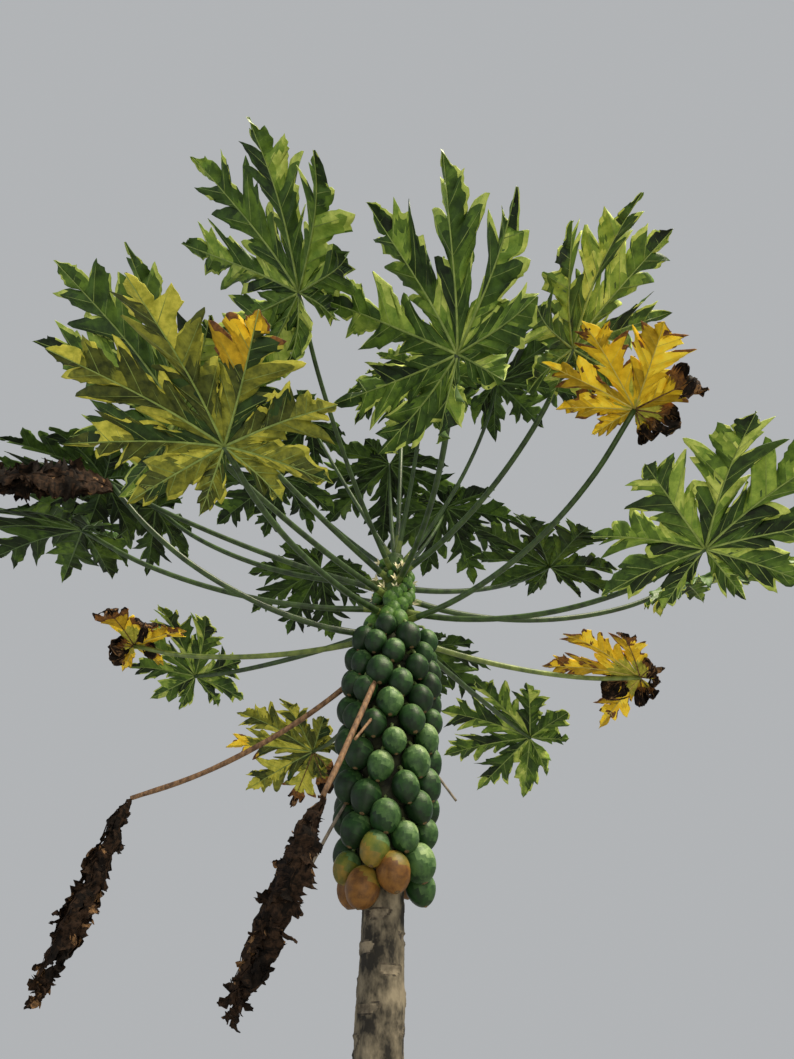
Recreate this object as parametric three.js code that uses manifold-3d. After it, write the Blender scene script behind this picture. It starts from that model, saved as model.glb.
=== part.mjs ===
// Papaya tree in fruit, millimetres, +Z up, trunk base centred on the origin.
// Bearings are degrees counter-clockwise from +X seen from above; rises are degrees above level.
import * as THREE from 'three';
import Module from 'manifold-3d';

const wasm = await Module();
wasm.setup();

// Trunk
const STEM_HEIGHT = 3230;
const STEM_LEAN = 0.028;
const STEM_BASE_RADIUS = 108;
const STEM_TIP_RADIUS = 30;
const STEM_TAPER_POWER = 0.95;
const FLARE_RADIUS = 38;
const FLARE_HEIGHT = 75;
const FLARE_ROOTS = 5;
const FLARE_ROOT_DEPTH = 0.16;
const STEM_SIDES = 12;
const STEM_RINGS = 13;
const STEM_RING_POWER = 1.5;
const DOME_HEIGHT = 34;
const DOME_SHOULDER = [0.7, 0.65];

// Clearances between a limb's foot and the trunk, and between one limb and the next
const SEAT_GAP = 0.4;
const LEAF_GAP = 0.5;
const SHORT_EDGE = 0.02;

// Leaf stalk
const STALK_SIDES = 4;
const STALK_SEGMENTS = 5;
const YOUNG_FROM = 3140;
const YOUNG_SCALE = 0.82;
const BLADE_LIFT = 7;
const STALK_ROOT = 0.4;
const STALK_FOOT_RADIUS = 15;
const STALK_MID_RADIUS = 10.5;
const STALK_END_RADIUS = 8;
const STALK_FOOT_SPREAD = 0.06;

// Leaf blade: nine lobes round the end of the stalk
const LOBE_ANGLES = [0, 36, 72, 108, 142];
const LOBE_REACHES = [1, 0.97, 0.86, 0.68, 0.45];
const LOBE_TIP_PAIRS = [2, 2, 1, 0, 0];
const SMALL_LOBE_TIP_PAIRS = [2, 1, 1, 0, 0];
const SMALL_LEAF = 435;
const LOBE_ANGLE_SPREAD = 2;
const LOBE_REACH_SPREAD = 0.05;
const REACH_SEED = 50;
const SINUS_REACH = 0.21;
const SINUS_LIFT = 0.3;
const BACK_EDGE_TURN = 18;
const BACK_EDGE_REACH = 0.085;
const BLADE_THICKNESS = 9;
const BLADE_CONE = 0.1;
const BLADE_DROOP = 0.12;
const BLADE_FOLD = 0.22;

// One side of a lobe as fractions of its length: along it, and out from its rib
const LOBE_SIDE = [[0.46, 0.125], [0.74, 0.2], [0.64, 0.065], [0.88, 0.135], [0.81, 0.045]];
const LOBE_SIDE_PLAIN = [[0.55, 0.15]];
const LOBE_RIB = [0.48, 0.75];

// Shrivelled blades of dead leaves
const HANG_RINGS = 8;
const HANG_SIDES = 6;
const HANG_FLATNESS = 0.5;
const HANG_NECK = 9;
const HANG_FIRST = 0.3;
const HANG_SHOULDER = 0.08;
const HANG_SWELL_POWER = 1.3;
const HANG_TWIST = 0.2;
const HANG_RAGGED = 0.22;
const HANG_SEED = 20;

// Fruit column
const FRUIT_COUNT = 86;
const FRUIT_LOW = 2105;
const FRUIT_SPAN = 800;
const FRUIT_CROWDING = 0.26;
const FRUIT_TURN = 137.5;
const FRUIT_OUT_LOW = 100;
const FRUIT_OUT_HIGH = 114;
const FRUIT_OUT_SWELL = 22;
const FRUIT_RADIUS_LOW = 43;
const FRUIT_RADIUS_HIGH = 34;
const FRUIT_LENGTHS = 1.14;
const FRUIT_SIDES = 5;
const FRUIT_RINGS = [[-0.46, 0.92], [0.42, 0.96]];
const FRUIT_FIRST_BEARING = -128;
const FRUIT_TURN_SPREAD = 5;
const FRUIT_RISE_SPREAD = 5;
const FRUIT_OUT_SPREAD = 6;
const FRUIT_SIZE_SPREAD = 0.09;
const TIER_STARTS = [0, 5, 20, 36, 52, 70];
const CORE_SIDES = 8;
const CORE_OVERLAP = 12;
const CORE_MARGIN = 5;

// Young fruits between the leaf stalks
const YOUNG_COUNT = 18;
const YOUNG_LOW = 2925;
const YOUNG_CORE_LOW = 2868;
const YOUNG_STEP = 11;
const YOUNG_RADIUS = 24;
const YOUNG_RADIUS_TOP = 12;
const YOUNG_LENGTHS = 1.35;
const YOUNG_CORE = 14;
const YOUNG_OUT = 0.8;

const COLOURS = {
  bark: 0x85786a,
  green: 0x4f7a25,
  deep_green: 0x34581f,
  olive: 0x86923a,
  yellow: 0xe0b51e,
  dead: 0x5d4632,
  dead_stalk: 0x9a6a48,
  fruit: 0x3f6637,
  young: 0x8fa35a,
  ripe: 0xd08a2c,
};

const rad = THREE.MathUtils.degToRad;
const mix = (a, b, t) => a + (b - a) * t;
const stemX = (z) => STEM_LEAN * z;

// A repeatable value between -1 and 1 for a pair of whole numbers
function jitter(a, b) {
  const s = Math.sin(a * 127.1 + b * 311.7) * 43758.5453;
  return 2 * (s - Math.floor(s)) - 1;
}

function stemRadius(z) {
  const left = Math.max(0, 1 - z / STEM_HEIGHT);
  return mix(STEM_TIP_RADIUS, STEM_BASE_RADIUS, left ** STEM_TAPER_POWER);
}

function heading(bearing, rise) {
  const b = rad(bearing);
  const e = rad(rise);
  return new THREE.Vector3(Math.cos(e) * Math.cos(b), Math.cos(e) * Math.sin(b), Math.sin(e));
}

// A closed body from corner points and outward triangles
function body(points, faces) {
  const vertProperties = new Float32Array(points.flatMap((p) => [p.x, p.y, p.z]));
  const triVerts = new Uint32Array(faces.flat());
  return new wasm.Manifold(new wasm.Mesh({ numProp: 3, vertProperties, triVerts }));
}

// Rings of points joined into a tube, closed by a point at each end
function ringBody(rings, first, last) {
  const sides = rings[0].length;
  const points = [...rings.flat(), first, last];
  const foot = points.length - 2;
  const head = points.length - 1;
  const top = (rings.length - 1) * sides;
  const faces = [];
  for (let s = 0; s < sides; s++) {
    const t = (s + 1) % sides;
    faces.push([foot, t, s]);
    faces.push([head, top + s, top + t]);
    for (let r = 0; r + 1 < rings.length; r++) {
      const a = r * sides;
      const b = a + sides;
      faces.push([a + s, a + t, b + t]);
      faces.push([a + s, b + t, b + s]);
    }
  }
  return body(points, faces);
}

function circle(centre, across, up, radius, sides, turn = 0) {
  return Array.from({ length: sides }, (_, s) => {
    const a = turn + (2 * Math.PI * s) / sides;
    return centre.clone().addScaledVector(across, radius * Math.cos(a))
      .addScaledVector(up, radius * Math.sin(a));
  });
}

// The trunk, grown outwards by gap when it is used to seat a limb
function stemBody(gap) {
  const level = (z, radius) => Array.from({ length: STEM_SIDES }, (_, s) => {
    const a = (2 * Math.PI * s) / STEM_SIDES;
    const root = 1 + FLARE_ROOT_DEPTH * Math.cos(FLARE_ROOTS * a);
    const r = radius + gap + FLARE_RADIUS * Math.exp(-z / FLARE_HEIGHT) * root;
    return new THREE.Vector3(stemX(z) + r * Math.cos(a), r * Math.sin(a), z);
  });
  const rings = [];
  for (let k = 0; k <= STEM_RINGS; k++) {
    const z = STEM_HEIGHT * (k / STEM_RINGS) ** STEM_RING_POWER;
    rings.push(level(z, stemRadius(z)));
  }
  rings.push(level(STEM_HEIGHT + DOME_HEIGHT * DOME_SHOULDER[0], STEM_TIP_RADIUS * DOME_SHOULDER[1]));
  const foot = new THREE.Vector3(0, 0, 0);
  const tip = new THREE.Vector3(stemX(STEM_HEIGHT), 0, STEM_HEIGHT + DOME_HEIGHT + gap);
  return ringBody(rings, foot, tip);
}

// Path of a leaf stalk: it leaves the trunk's axis and bends evenly in rise and bearing
function stalkPath(leaf) {
  const path = [new THREE.Vector3(stemX(leaf.z), 0, leaf.z)];
  const inside = stemRadius(leaf.z) * STALK_ROOT;
  path[0].addScaledVector(heading(leaf.bearing, 0), inside);
  const step = (leaf.length + stemRadius(leaf.z) - inside) / STALK_SEGMENTS;
  for (let k = 0; k < STALK_SEGMENTS; k++) {
    const s = (k + 0.5) / STALK_SEGMENTS;
    const way = heading(mix(leaf.bearing, leaf.endBearing, s), mix(leaf.rise, leaf.endRise, s));
    path.push(path[k].clone().addScaledVector(way, step));
  }
  return path;
}

function stalkRadius(s, scale) {
  const foot = Math.exp(-s / STALK_FOOT_SPREAD);
  const shaft = mix(STALK_MID_RADIUS, STALK_END_RADIUS, s);
  return scale * mix(shaft, STALK_FOOT_RADIUS, foot);
}

function stalkBody(path, scale, gap = 0, tip = path[path.length - 1]) {
  const rings = path.map((p, k) => {
    const ahead = path[Math.min(k + 1, path.length - 1)];
    const behind = path[Math.max(k - 1, 0)];
    const way = ahead.clone().sub(behind).normalize();
    const across = new THREE.Vector3(-way.y, way.x, 0).normalize();
    const up = new THREE.Vector3().crossVectors(way, across);
    const radius = stalkRadius(k / (path.length - 1), scale) + gap;
    return circle(p, across, up, radius, STALK_SIDES, Math.PI / 2);
  });
  return ringBody(rings, path[0], tip);
}

// Axes of a blade: ahead along its middle lobe, aside to its left, and up out of its upper face
function bladeAxes(leaf) {
  const ahead = heading(leaf.endBearing + leaf.yaw, leaf.tilt);
  const flat = heading(leaf.endBearing + leaf.yaw + 90, 0);
  const above = new THREE.Vector3().crossVectors(ahead, flat);
  const aside = flat.clone().multiplyScalar(Math.cos(rad(leaf.roll)))
    .addScaledVector(above, Math.sin(rad(leaf.roll)));
  return { ahead, aside, up: new THREE.Vector3().crossVectors(ahead, aside) };
}

// The lobes in order round the blade, from the last on its right to the last on its left
function lobesOf(leaf, seed) {
  const right = LOBE_ANGLES.map((angle, k) => ({ k, angle: -angle })).slice(1).reverse();
  const left = LOBE_ANGLES.map((angle, k) => ({ k, angle }));
  const pairs = leaf.size < SMALL_LEAF ? SMALL_LOBE_TIP_PAIRS : LOBE_TIP_PAIRS;
  return [...right, ...left].map((lobe, i) => ({
    angle: rad(lobe.angle + LOBE_ANGLE_SPREAD * jitter(seed, i)),
    reach: leaf.size * LOBE_REACHES[lobe.k] * (1 + LOBE_REACH_SPREAD * jitter(seed + REACH_SEED, i)),
    pairs: pairs[lobe.k],
  }));
}

// Height of the blade's middle surface: a shallow cone that droops more towards its tips
function sag(distance, size) {
  return -BLADE_CONE * distance - (BLADE_DROOP * distance * distance) / size;
}

// A blade is one closed sheet: each half lobe is a fan of flats between its rib and its outline
function bladeBody(leaf, centre, seed) {
  const { ahead, aside, up } = bladeAxes(leaf);
  const half = BLADE_THICKNESS / 2;
  const points = [];
  const add = (along, out, height) => {
    for (const face of [half, -half]) {
      points.push(centre.clone().addScaledVector(ahead, along).addScaledVector(aside, out)
        .addScaledVector(up, height + face));
    }
    return points.length - 2;
  };
  const inLobe = (lobe, fraction, spread) => {
    const r = lobe.reach * fraction;
    const v = lobe.reach * spread;
    const c = Math.cos(lobe.angle);
    const s = Math.sin(lobe.angle);
    const height = sag(r, leaf.size) + BLADE_FOLD * Math.abs(v);
    return add(r * c - v * s, r * s + v * c, height);
  };
  const lobes = lobesOf(leaf, seed);
  const middle = add(0, 0, 0);
  const notches = [];
  for (let i = 0; i <= lobes.length; i++) {
    const before = lobes[Math.max(i - 1, 0)].angle;
    const after = lobes[Math.min(i, lobes.length - 1)].angle;
    const edge = (i === 0 ? -1 : 0) + (i === lobes.length ? 1 : 0);
    const angle = (before + after) / 2 + edge * rad(BACK_EDGE_TURN);
    const r = leaf.size * (edge === 0 ? SINUS_REACH : BACK_EDGE_REACH);
    const height = sag(r, leaf.size) + BLADE_FOLD * r * SINUS_LIFT;
    notches.push(add(r * Math.cos(angle), r * Math.sin(angle), height));
  }
  const faces = [];
  const top = (a, b, c) => faces.push([a, b, c], [a + 1, c + 1, b + 1]);
  const wall = (a, b) => faces.push([a, a + 1, b + 1], [a, b + 1, b]);
  lobes.forEach((lobe, i) => {
    const tip = inLobe(lobe, 1, 0);
    const sideAt = lobe.pairs === 0 ? LOBE_SIDE_PLAIN : LOBE_SIDE.slice(0, 1 + 2 * lobe.pairs);
    const rib = LOBE_RIB.slice(0, lobe.pairs).map((f) => inLobe(lobe, f, 0));
    const rightSide = [notches[i], ...sideAt.map(([f, v]) => inLobe(lobe, f, -v))];
    const leftSide = [notches[i + 1], ...sideAt.map(([f, v]) => inLobe(lobe, f, v))];
    const fan = (side, put) => {
      const near = rib[0] ?? tip;
      put(middle, side[0], near);
      put(side[0], side[1], near);
      for (let k = 0; k < lobe.pairs; k++) {
        const [outer, point, notch] = side.slice(1 + 2 * k);
        put(outer, point, notch);
        put(outer, notch, rib[k]);
        put(notch, rib[k + 1] ?? tip, rib[k]);
      }
    };
    fan(rightSide, (a, b, c) => top(a, b, c));
    fan(leftSide, (a, b, c) => top(a, c, b));
    const outline = [...rightSide, tip, ...leftSide.reverse()];
    outline.slice(1).forEach((b, k) => wall(outline[k], b));
  });
  wall(notches[lobes.length], middle);
  wall(middle, notches[0]);
  return body(points, faces);
}

// A fruit: a blunt egg on end
function fruitBody(centre, radius, halfLength, turn, gap = 0) {
  const x = new THREE.Vector3(1, 0, 0);
  const y = new THREE.Vector3(0, 1, 0);
  const rings = FRUIT_RINGS.map(([height, width]) => {
    const c = centre.clone();
    c.z += height * halfLength;
    return circle(c, x, y, radius * width + gap, FRUIT_SIDES, turn);
  });
  const low = centre.clone();
  const high = centre.clone();
  low.z -= halfLength + gap;
  high.z += halfLength + gap;
  return ringBody(rings, low, high);
}

// The one body kept after a cut, without the short edges that the cut leaves
function largest(solid) {
  const pieces = solid.decompose();
  return pieces.reduce((a, b) => (b.volume() > a.volume() ? b : a)).simplify(SHORT_EDGE);
}

const tree = new THREE.Group();
tree.name = 'papaya_tree';
const stemSeat = stemBody(SEAT_GAP);

function place(name, solid, colour, roughness) {
  const mesh = solid.getMesh();
  const geometry = new THREE.BufferGeometry();
  geometry.setAttribute('position', new THREE.BufferAttribute(mesh.vertProperties, 3));
  geometry.setIndex(new THREE.BufferAttribute(mesh.triVerts, 1));
  const material = new THREE.MeshStandardMaterial({ color: COLOURS[colour], roughness, metalness: 0 });
  const node = new THREE.Mesh(geometry, material);
  node.name = name;
  tree.add(node);
}

// Leaves round the stem from its foot up: where each leaves the trunk, how its stalk
// bends, and how its blade is turned. Front leaves have bearings near -90.
const leaf = (name, colour, z, bearing, rise, length, endRise, endBearing, size, yaw, tilt, roll) => (
  { name, colour, z, bearing, rise, length, endRise, endBearing, size, yaw, tilt, roll });
const LEAVES = [
  leaf('leaf_back_low_olive', 'olive', 2840, 107, -11, 940, 11, 114, 365, 55, 17, 32),
  leaf('leaf_right_low_yellow', 'yellow', 2920, 20, -12, 930, 10, 19, 350, 153, 25, 15),
  leaf('leaf_left_low_yellow', 'yellow', 2915, 167, -9, 990, 21, 159, 290, 101, 16, 9),
  leaf('leaf_back_right_low', 'green', 2950, 51, -11, 960, 1, 60, 380, 122, 29, 27),
  leaf('leaf_back_left_low', 'green', 2950, 150, -5, 950, 14, 139, 350, 115, 40, -9),
  leaf('leaf_right_front_yellow', 'yellow', 2950, -33, 0, 1040, 37, -58, 345, -29, 7, -30),
  leaf('leaf_back_low', 'deep_green', 2960, 79, 16, 950, 28, 82, 330, 0, -14, 0),
  leaf('leaf_front_left_yellowing', 'olive', 2975, -128, -5, 950, 7, -104, 470, -2, 22, -6),
  leaf('leaf_right_large', 'green', 3005, -8, -17, 1020, 14, -41, 480, -52, 25, 4),
  leaf('leaf_left_large', 'deep_green', 3015, -177, -4, 1100, 29, -170, 430, 2, 8, -13),
  leaf('leaf_right', 'green', 3065, 7, -19, 1030, 27, -4, 420, -13, 12, 25),
  leaf('leaf_back_left_drooping', 'deep_green', 3050, 116, 26, 940, 47, 115, 360, 6, -20, 6),
  leaf('leaf_front_left_green', 'green', 3050, -130, 2, 960, 14, -125, 490, -5, 45, -12),
  leaf('leaf_left_upper', 'deep_green', 3080, 183, 15, 1100, 26, 192, 390, -4, 12, 2),
  leaf('leaf_front_centre', 'green', 3100, -73, -2, 990, 14, -89, 500, -55, 66, -4),
  leaf('leaf_back_right', 'deep_green', 3105, 38, 14, 930, 39, 40, 430, -149, 12, -18),
  leaf('leaf_left_inner', 'deep_green', 3120, 170, 5, 1010, 42, 177, 380, 0, 6, 10),
  leaf('leaf_front_left_inner', 'green', 3118, -132, 12, 790, 22, -130, 400, 7, 20, -7),
  leaf('leaf_front_right_green', 'green', 3140, -44, 8, 970, 38, -62, 460, -20, 35, 39),
  leaf('leaf_front_tall', 'green', 3145, -113, 22, 1010, 24, -101, 490, -38, 53, -10),
  leaf('leaf_back_right_upper', 'deep_green', 3165, 67, 43, 940, 55, 70, 400, -2, -14, 1),
  leaf('leaf_back_left_upper', 'deep_green', 3170, 144, 46, 940, 53, 140, 400, 2, 6, 3),
  leaf('leaf_right_upper', 'deep_green', 3180, -7, 52, 940, 77, -10, 430, -10, 14, 8),
  leaf('leaf_back_upper', 'deep_green', 3205, 95, 58, 950, 64, 92, 430, 4, -12, 6),
  leaf('leaf_back_left_young', 'deep_green', 3222, 152, 62, 880, 66, 160, 350, 1, 2, 0),
  leaf('leaf_right_young', 'green', 3225, -60, 66, 700, 70, -70, 290, 0, 10, 0),
  leaf('leaf_top_young', 'green', 3252, 60, 86, 930, 88, 60, 380, 0, 6, 0),
];

// Dead leaves and broken stalks: the stalk, then the shrivelled blade that hangs from its
// end, given by how far its tip lies out, aside and up from there, and by its width
const dead = (name, z, bearing, rise, length, endRise, endBearing, scale, blade = null) => (
  { name, z, bearing, rise, length, endRise, endBearing, scale, blade });
const DEAD = [
  dead('dead_leaf_left', 2870, 178, -49, 915, -14, 173, 0.95, { x: -170, y: 20, z: -560, width: 62 }),
  dead('dead_leaf_front', 2890, -110, -58, 690, -61, -127, 0.95, { x: -210, y: 115, z: -520, width: 76 }),
  dead('dead_leaf_left_high', 2905, -160, -6, 1045, 47, -156, 1.05, { x: -400, y: -90, z: -50, width: 92 }),
  dead('dead_stalk_front', 2690, -108, -42, 325, -43, -113, 0.5),
  dead('dead_stalk_left', 2530, -158, -57, 460, -66, -160, 0.55),
  dead('dead_stalk_right', 2610, 13, -50, 275, -53, 12, 0.5),
];

// A shrivelled blade: a crumpled flattened bundle that thickens from its neck and thins to its tip
function hangingBlade(start, blade, seed) {
  const reach = new THREE.Vector3(blade.x, blade.y, blade.z);
  const way = reach.clone().normalize();
  const across = new THREE.Vector3(-way.y - way.z, way.x, way.x).normalize();
  const up = new THREE.Vector3().crossVectors(way, across);
  const rings = Array.from({ length: HANG_RINGS }, (_, k) => {
    const s = (k + HANG_FIRST) / HANG_RINGS;
    const centre = start.clone().addScaledVector(reach, s);
    const swell = Math.sin(Math.PI * Math.min(1, HANG_SHOULDER + s)) ** HANG_SWELL_POWER;
    const points = circle(centre, across, up, 1, HANG_SIDES, HANG_TWIST * k);
    return points.map((p, i) => {
      const r = mix(HANG_NECK, blade.width, swell) * (1 + HANG_RAGGED * jitter(seed + k, i));
      const arm = p.sub(centre);
      const lift = arm.dot(up);
      return centre.clone().addScaledVector(arm.addScaledVector(up, -lift * (1 - HANG_FLATNESS)), r);
    });
  });
  return ringBody(rings, start, start.clone().add(reach));
}

place('trunk', stemBody(0), 'bark', 0.85);

const limbs = LEAVES.map((spec, i) => {
  const path = stalkPath(spec);
  const scale = spec.z > YOUNG_FROM ? YOUNG_SCALE : 1;
  const centre = path[path.length - 1].clone().addScaledVector(bladeAxes(spec).up, BLADE_LIFT);
  const stalk = stalkBody(path, scale, 0, centre);
  const solid = largest(stalk.add(bladeBody(spec, centre, i + 1)).subtract(stemSeat));
  return { spec, solid, grown: stalkBody(path, scale, LEAF_GAP * 2) };
});

const deadStalks = DEAD.map((spec, i) => {
  const path = stalkPath(spec);
  const solid = largest(stalkBody(path, spec.scale).subtract(stemSeat));
  const limb = { spec, solid, grown: stalkBody(path, spec.scale, LEAF_GAP * 2) };
  if (spec.blade) {
    const end = path[path.length - 1];
    const way = end.clone().sub(path[path.length - 2]).normalize();
    const start = end.clone().addScaledVector(way, LEAF_GAP);
    const hanging = hangingBlade(start, spec.blade, HANG_SEED * (i + 1));
    limb.hangs = largest(hanging.subtract(stalkBody(path, spec.scale, SEAT_GAP)));
  }
  return limb;
});

limbs.forEach(({ spec, solid }) => place(spec.name, solid, spec.colour, 0.6));
for (const { spec, solid, hangs } of deadStalks) {
  place(hangs ? `${spec.name}_stalk` : spec.name, solid, 'dead_stalk', 0.75);
  if (hangs) {
    place(`${spec.name}_blade`, hangs, 'dead', 0.85);
  }
}

// Fruits on one spiral up the stem: a close column of grown ones, then young ones between the stalks
const spiralFruit = (k, z, out, radius, halfLength) => {
  const bearing = FRUIT_FIRST_BEARING + FRUIT_TURN * k + FRUIT_TURN_SPREAD * jitter(k, 5);
  const centre = heading(bearing, 0).multiplyScalar(out);
  centre.x += stemX(z);
  centre.z = z;
  return { centre, out, radius, halfLength, turn: rad(bearing) };
};
const fruits = Array.from({ length: FRUIT_COUNT }, (_, k) => {
  const s = k / FRUIT_COUNT;
  const rise = FRUIT_SPAN * s * (1 + FRUIT_CROWDING * (1 - s));
  const z = FRUIT_LOW + rise + FRUIT_RISE_SPREAD * jitter(k, 9);
  const swell = FRUIT_OUT_SWELL * Math.sin(Math.PI * s);
  const out = mix(FRUIT_OUT_LOW, FRUIT_OUT_HIGH, s) + swell + FRUIT_OUT_SPREAD * jitter(k, 7);
  const radius = mix(FRUIT_RADIUS_LOW, FRUIT_RADIUS_HIGH, s) * (1 + FRUIT_SIZE_SPREAD * jitter(k, 3));
  return spiralFruit(k, z, out, radius, radius * FRUIT_LENGTHS);
});
const youngFruits = Array.from({ length: YOUNG_COUNT }, (_, k) => {
  const z = YOUNG_LOW + YOUNG_STEP * k;
  const radius = mix(YOUNG_RADIUS, YOUNG_RADIUS_TOP, k / YOUNG_COUNT);
  const out = stemRadius(z) + YOUNG_CORE + radius * YOUNG_OUT;
  return spiralFruit(k, z, out, radius, radius * YOUNG_LENGTHS);
});

function coreBody(low, high, radius) {
  const ring = (z) => circle(new THREE.Vector3(stemX(z), 0, z), new THREE.Vector3(1, 0, 0),
    new THREE.Vector3(0, 1, 0), radius, CORE_SIDES);
  const rings = [ring(low), ring(high)];
  const foot = new THREE.Vector3(stemX(low), 0, low);
  const head = new THREE.Vector3(stemX(high), 0, high);
  return ringBody(rings, foot, head);
}

const limbUnion = limbs.reduce((sum, { solid }) => sum.add(solid), limbs[0].solid);
const stalkUnion = [...limbs, ...deadStalks].reduce((sum, { grown }) => sum.add(grown), stemSeat);
const fruitSolid = (f, gap) => fruitBody(f.centre, f.radius, f.halfLength, f.turn, gap);
const isClear = (f) => fruitSolid(f, LEAF_GAP).intersect(limbUnion).isEmpty();

const tiers = TIER_STARTS.map((start, t) => {
  const members = fruits.slice(start, TIER_STARTS[t + 1] ?? FRUIT_COUNT);
  const name = t === 0 ? 'fruit_ripe' : `fruit_tier_${t}`;
  const radius = Math.max(...members.map((f) => f.out - f.radius)) + CORE_OVERLAP;
  const low = Math.min(...members.map((f) => f.centre.z)) - CORE_MARGIN;
  return { name, colour: t === 0 ? 'ripe' : 'fruit', members, radius, low };
});
tiers.push({
  name: 'fruit_young',
  colour: 'young',
  members: youngFruits,
  radius: stemRadius(YOUNG_LOW) + YOUNG_CORE,
  low: YOUNG_CORE_LOW,
});

// Tiers from the top down: each gives way to the ones above it and to the stalks that pass it
let above = stalkUnion;
for (const tier of tiers.reverse()) {
  const members = tier.members.filter(isClear);
  const high = Math.max(...members.map((f) => f.centre.z)) + CORE_MARGIN;
  const core = coreBody(tier.low, high, tier.radius);
  const solid = members.reduce((sum, f) => sum.add(fruitSolid(f, 0)), core);
  place(tier.name, largest(solid.subtract(above)), tier.colour, 0.45);
  const grownCore = coreBody(tier.low - LEAF_GAP, high + LEAF_GAP, tier.radius + LEAF_GAP);
  above = members.reduce((sum, f) => sum.add(fruitSolid(f, LEAF_GAP * 2)), above.add(grownCore));
}

export default tree;
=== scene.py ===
import math

import bpy
import numpy as np
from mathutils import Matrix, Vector


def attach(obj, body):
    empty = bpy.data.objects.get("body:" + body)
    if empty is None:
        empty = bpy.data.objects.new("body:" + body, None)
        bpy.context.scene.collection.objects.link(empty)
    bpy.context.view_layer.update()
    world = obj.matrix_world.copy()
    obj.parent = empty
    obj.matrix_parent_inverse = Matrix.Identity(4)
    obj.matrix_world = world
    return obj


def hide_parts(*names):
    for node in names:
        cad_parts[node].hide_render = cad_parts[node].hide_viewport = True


# Papaya tree in fruit. Lengths are millimetres until a piece is made, which turns them to metres.
# Bearings are degrees counter-clockwise from +X seen from above; rises are degrees above level.
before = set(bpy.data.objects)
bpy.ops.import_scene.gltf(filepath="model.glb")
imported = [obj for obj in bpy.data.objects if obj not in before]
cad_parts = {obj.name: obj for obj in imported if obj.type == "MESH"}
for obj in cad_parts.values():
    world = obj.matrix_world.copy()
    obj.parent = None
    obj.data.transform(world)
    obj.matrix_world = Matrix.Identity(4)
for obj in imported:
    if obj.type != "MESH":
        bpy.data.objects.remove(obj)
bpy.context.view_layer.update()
BODY = "root"
METRES = 0.001
# Scars, fruits and scraps follow each other round the stem by this angle
TURN = 137.5
# A share of a length that nothing reaches
NEVER = 9.0

# Trunk
STEM_HEIGHT = 3230
STEM_LEAN = 0.028
STEM_BASE_RADIUS = 108
STEM_TIP_RADIUS = 30
STEM_TAPER_POWER = 0.95
FLARE_RADIUS = 38
FLARE_HEIGHT = 75
FLARE_ROOTS = 5
FLARE_ROOT_DEPTH = 0.16
DOME_HEIGHT = 34
STEM_SIDES = 96
STEM_RINGS = 620
SCAR_STEP = 27
SCAR_FIRST = 150
SCAR_HALF_WIDTH = 38
SCAR_HALF_HEIGHT = 17
SCAR_RIM = 3.4
SCAR_DEPTH = 2.8
SCAR_TURN_SPREAD = 14
SCAR_RISE_SPREAD = 6
GREEN_BARK_FROM = 2950
# Relief of the bark: how far apart its bumps are, which draw they are, and how high
BARK_RELIEF = [(38, 3, 2.4), (14, 4, 1.4)]
CRACK_SPACING = 9
CRACK_DEPTH = 4.5
BARK_INSET = 1.8
BARK_FADE = 60

# Leaf stalk
STALK_SEGMENTS = 5
STALK_SIDES = 10
STALK_FINE = 5
YOUNG_FROM = 3140
YOUNG_SCALE = 0.82
BLADE_LIFT = 7
STALK_ROOT = 0.4
STALK_FOOT_RADIUS = 15
STALK_MID_RADIUS = 10.5
STALK_END_RADIUS = 8
STALK_FOOT_SPREAD = 0.06
STALK_COLLAR = 0.25
STALK_COLLAR_SPREAD = 0.02

# Leaf blade: nine lobes round the end of the stalk
LOBE_ANGLES = [0, 36, 72, 108, 142]
LOBE_REACHES = [1, 0.97, 0.86, 0.68, 0.45]
LOBE_ANGLE_SPREAD = 2
LOBE_REACH_SPREAD = 0.05
REACH_SEED = 50
SINUS_REACH = 0.21
BACK_EDGE_TURN = 18
BACK_EDGE_REACH = 0.085
BLADE_CONE = 0.1
BLADE_DROOP = 0.12
BLADE_FOLD = 0.2
BLADE_THICKNESS = 1.4
BLADE_ROWS = 5
POINT_FOLD = 0.04
POINT_LIFT = 0.05
BLISTER = 0.015
EDGE_WAVE, EDGE_WAVES = 0.014, 23
RELIEF_FROM = 0.15
LOBE_TWIST = 0.32
LOBE_BEND = 0.035
CURL_RADIUS = 0.12
CURL_TURN = 4.8
CURL_NARROWS = 0.6
CRUMPLE_SPACING = 24
CRUMPLE_AHEAD, CRUMPLE_ASIDE, CRUMPLE_UP = 12, 9, 18

# Half of a lobe's outline from its notch to its tip, as fractions of the lobe's length: along it,
# out from its rib, where the vein to that point leaves the rib, and whether the point is a corner
FULL_SIDE = [
    (0.30, 0.085, 0.08, 0), (0.40, 0.118, 0.15, 0), (0.505, 0.158, 0.23, 0), (0.495, 0.105, 0.27, 0),
    (0.445, 0.058, 0.31, 1), (0.53, 0.095, 0.35, 0), (0.625, 0.160, 0.41, 1), (0.650, 0.155, 0.43, 0),
    (0.775, 0.222, 0.50, 0), (0.745, 0.140, 0.54, 0), (0.665, 0.050, 0.58, 1), (0.735, 0.085, 0.63, 0),
    (0.800, 0.130, 0.68, 1), (0.830, 0.125, 0.70, 0), (0.905, 0.150, 0.73, 1), (0.875, 0.085, 0.765, 0),
    (0.825, 0.034, 0.80, 1), (0.880, 0.060, 0.85, 0), (0.935, 0.052, 0.90, 1), (0.945, 0.036, 0.93, 0),
    (1.0, 0.0, 1.0, 1),
]
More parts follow.
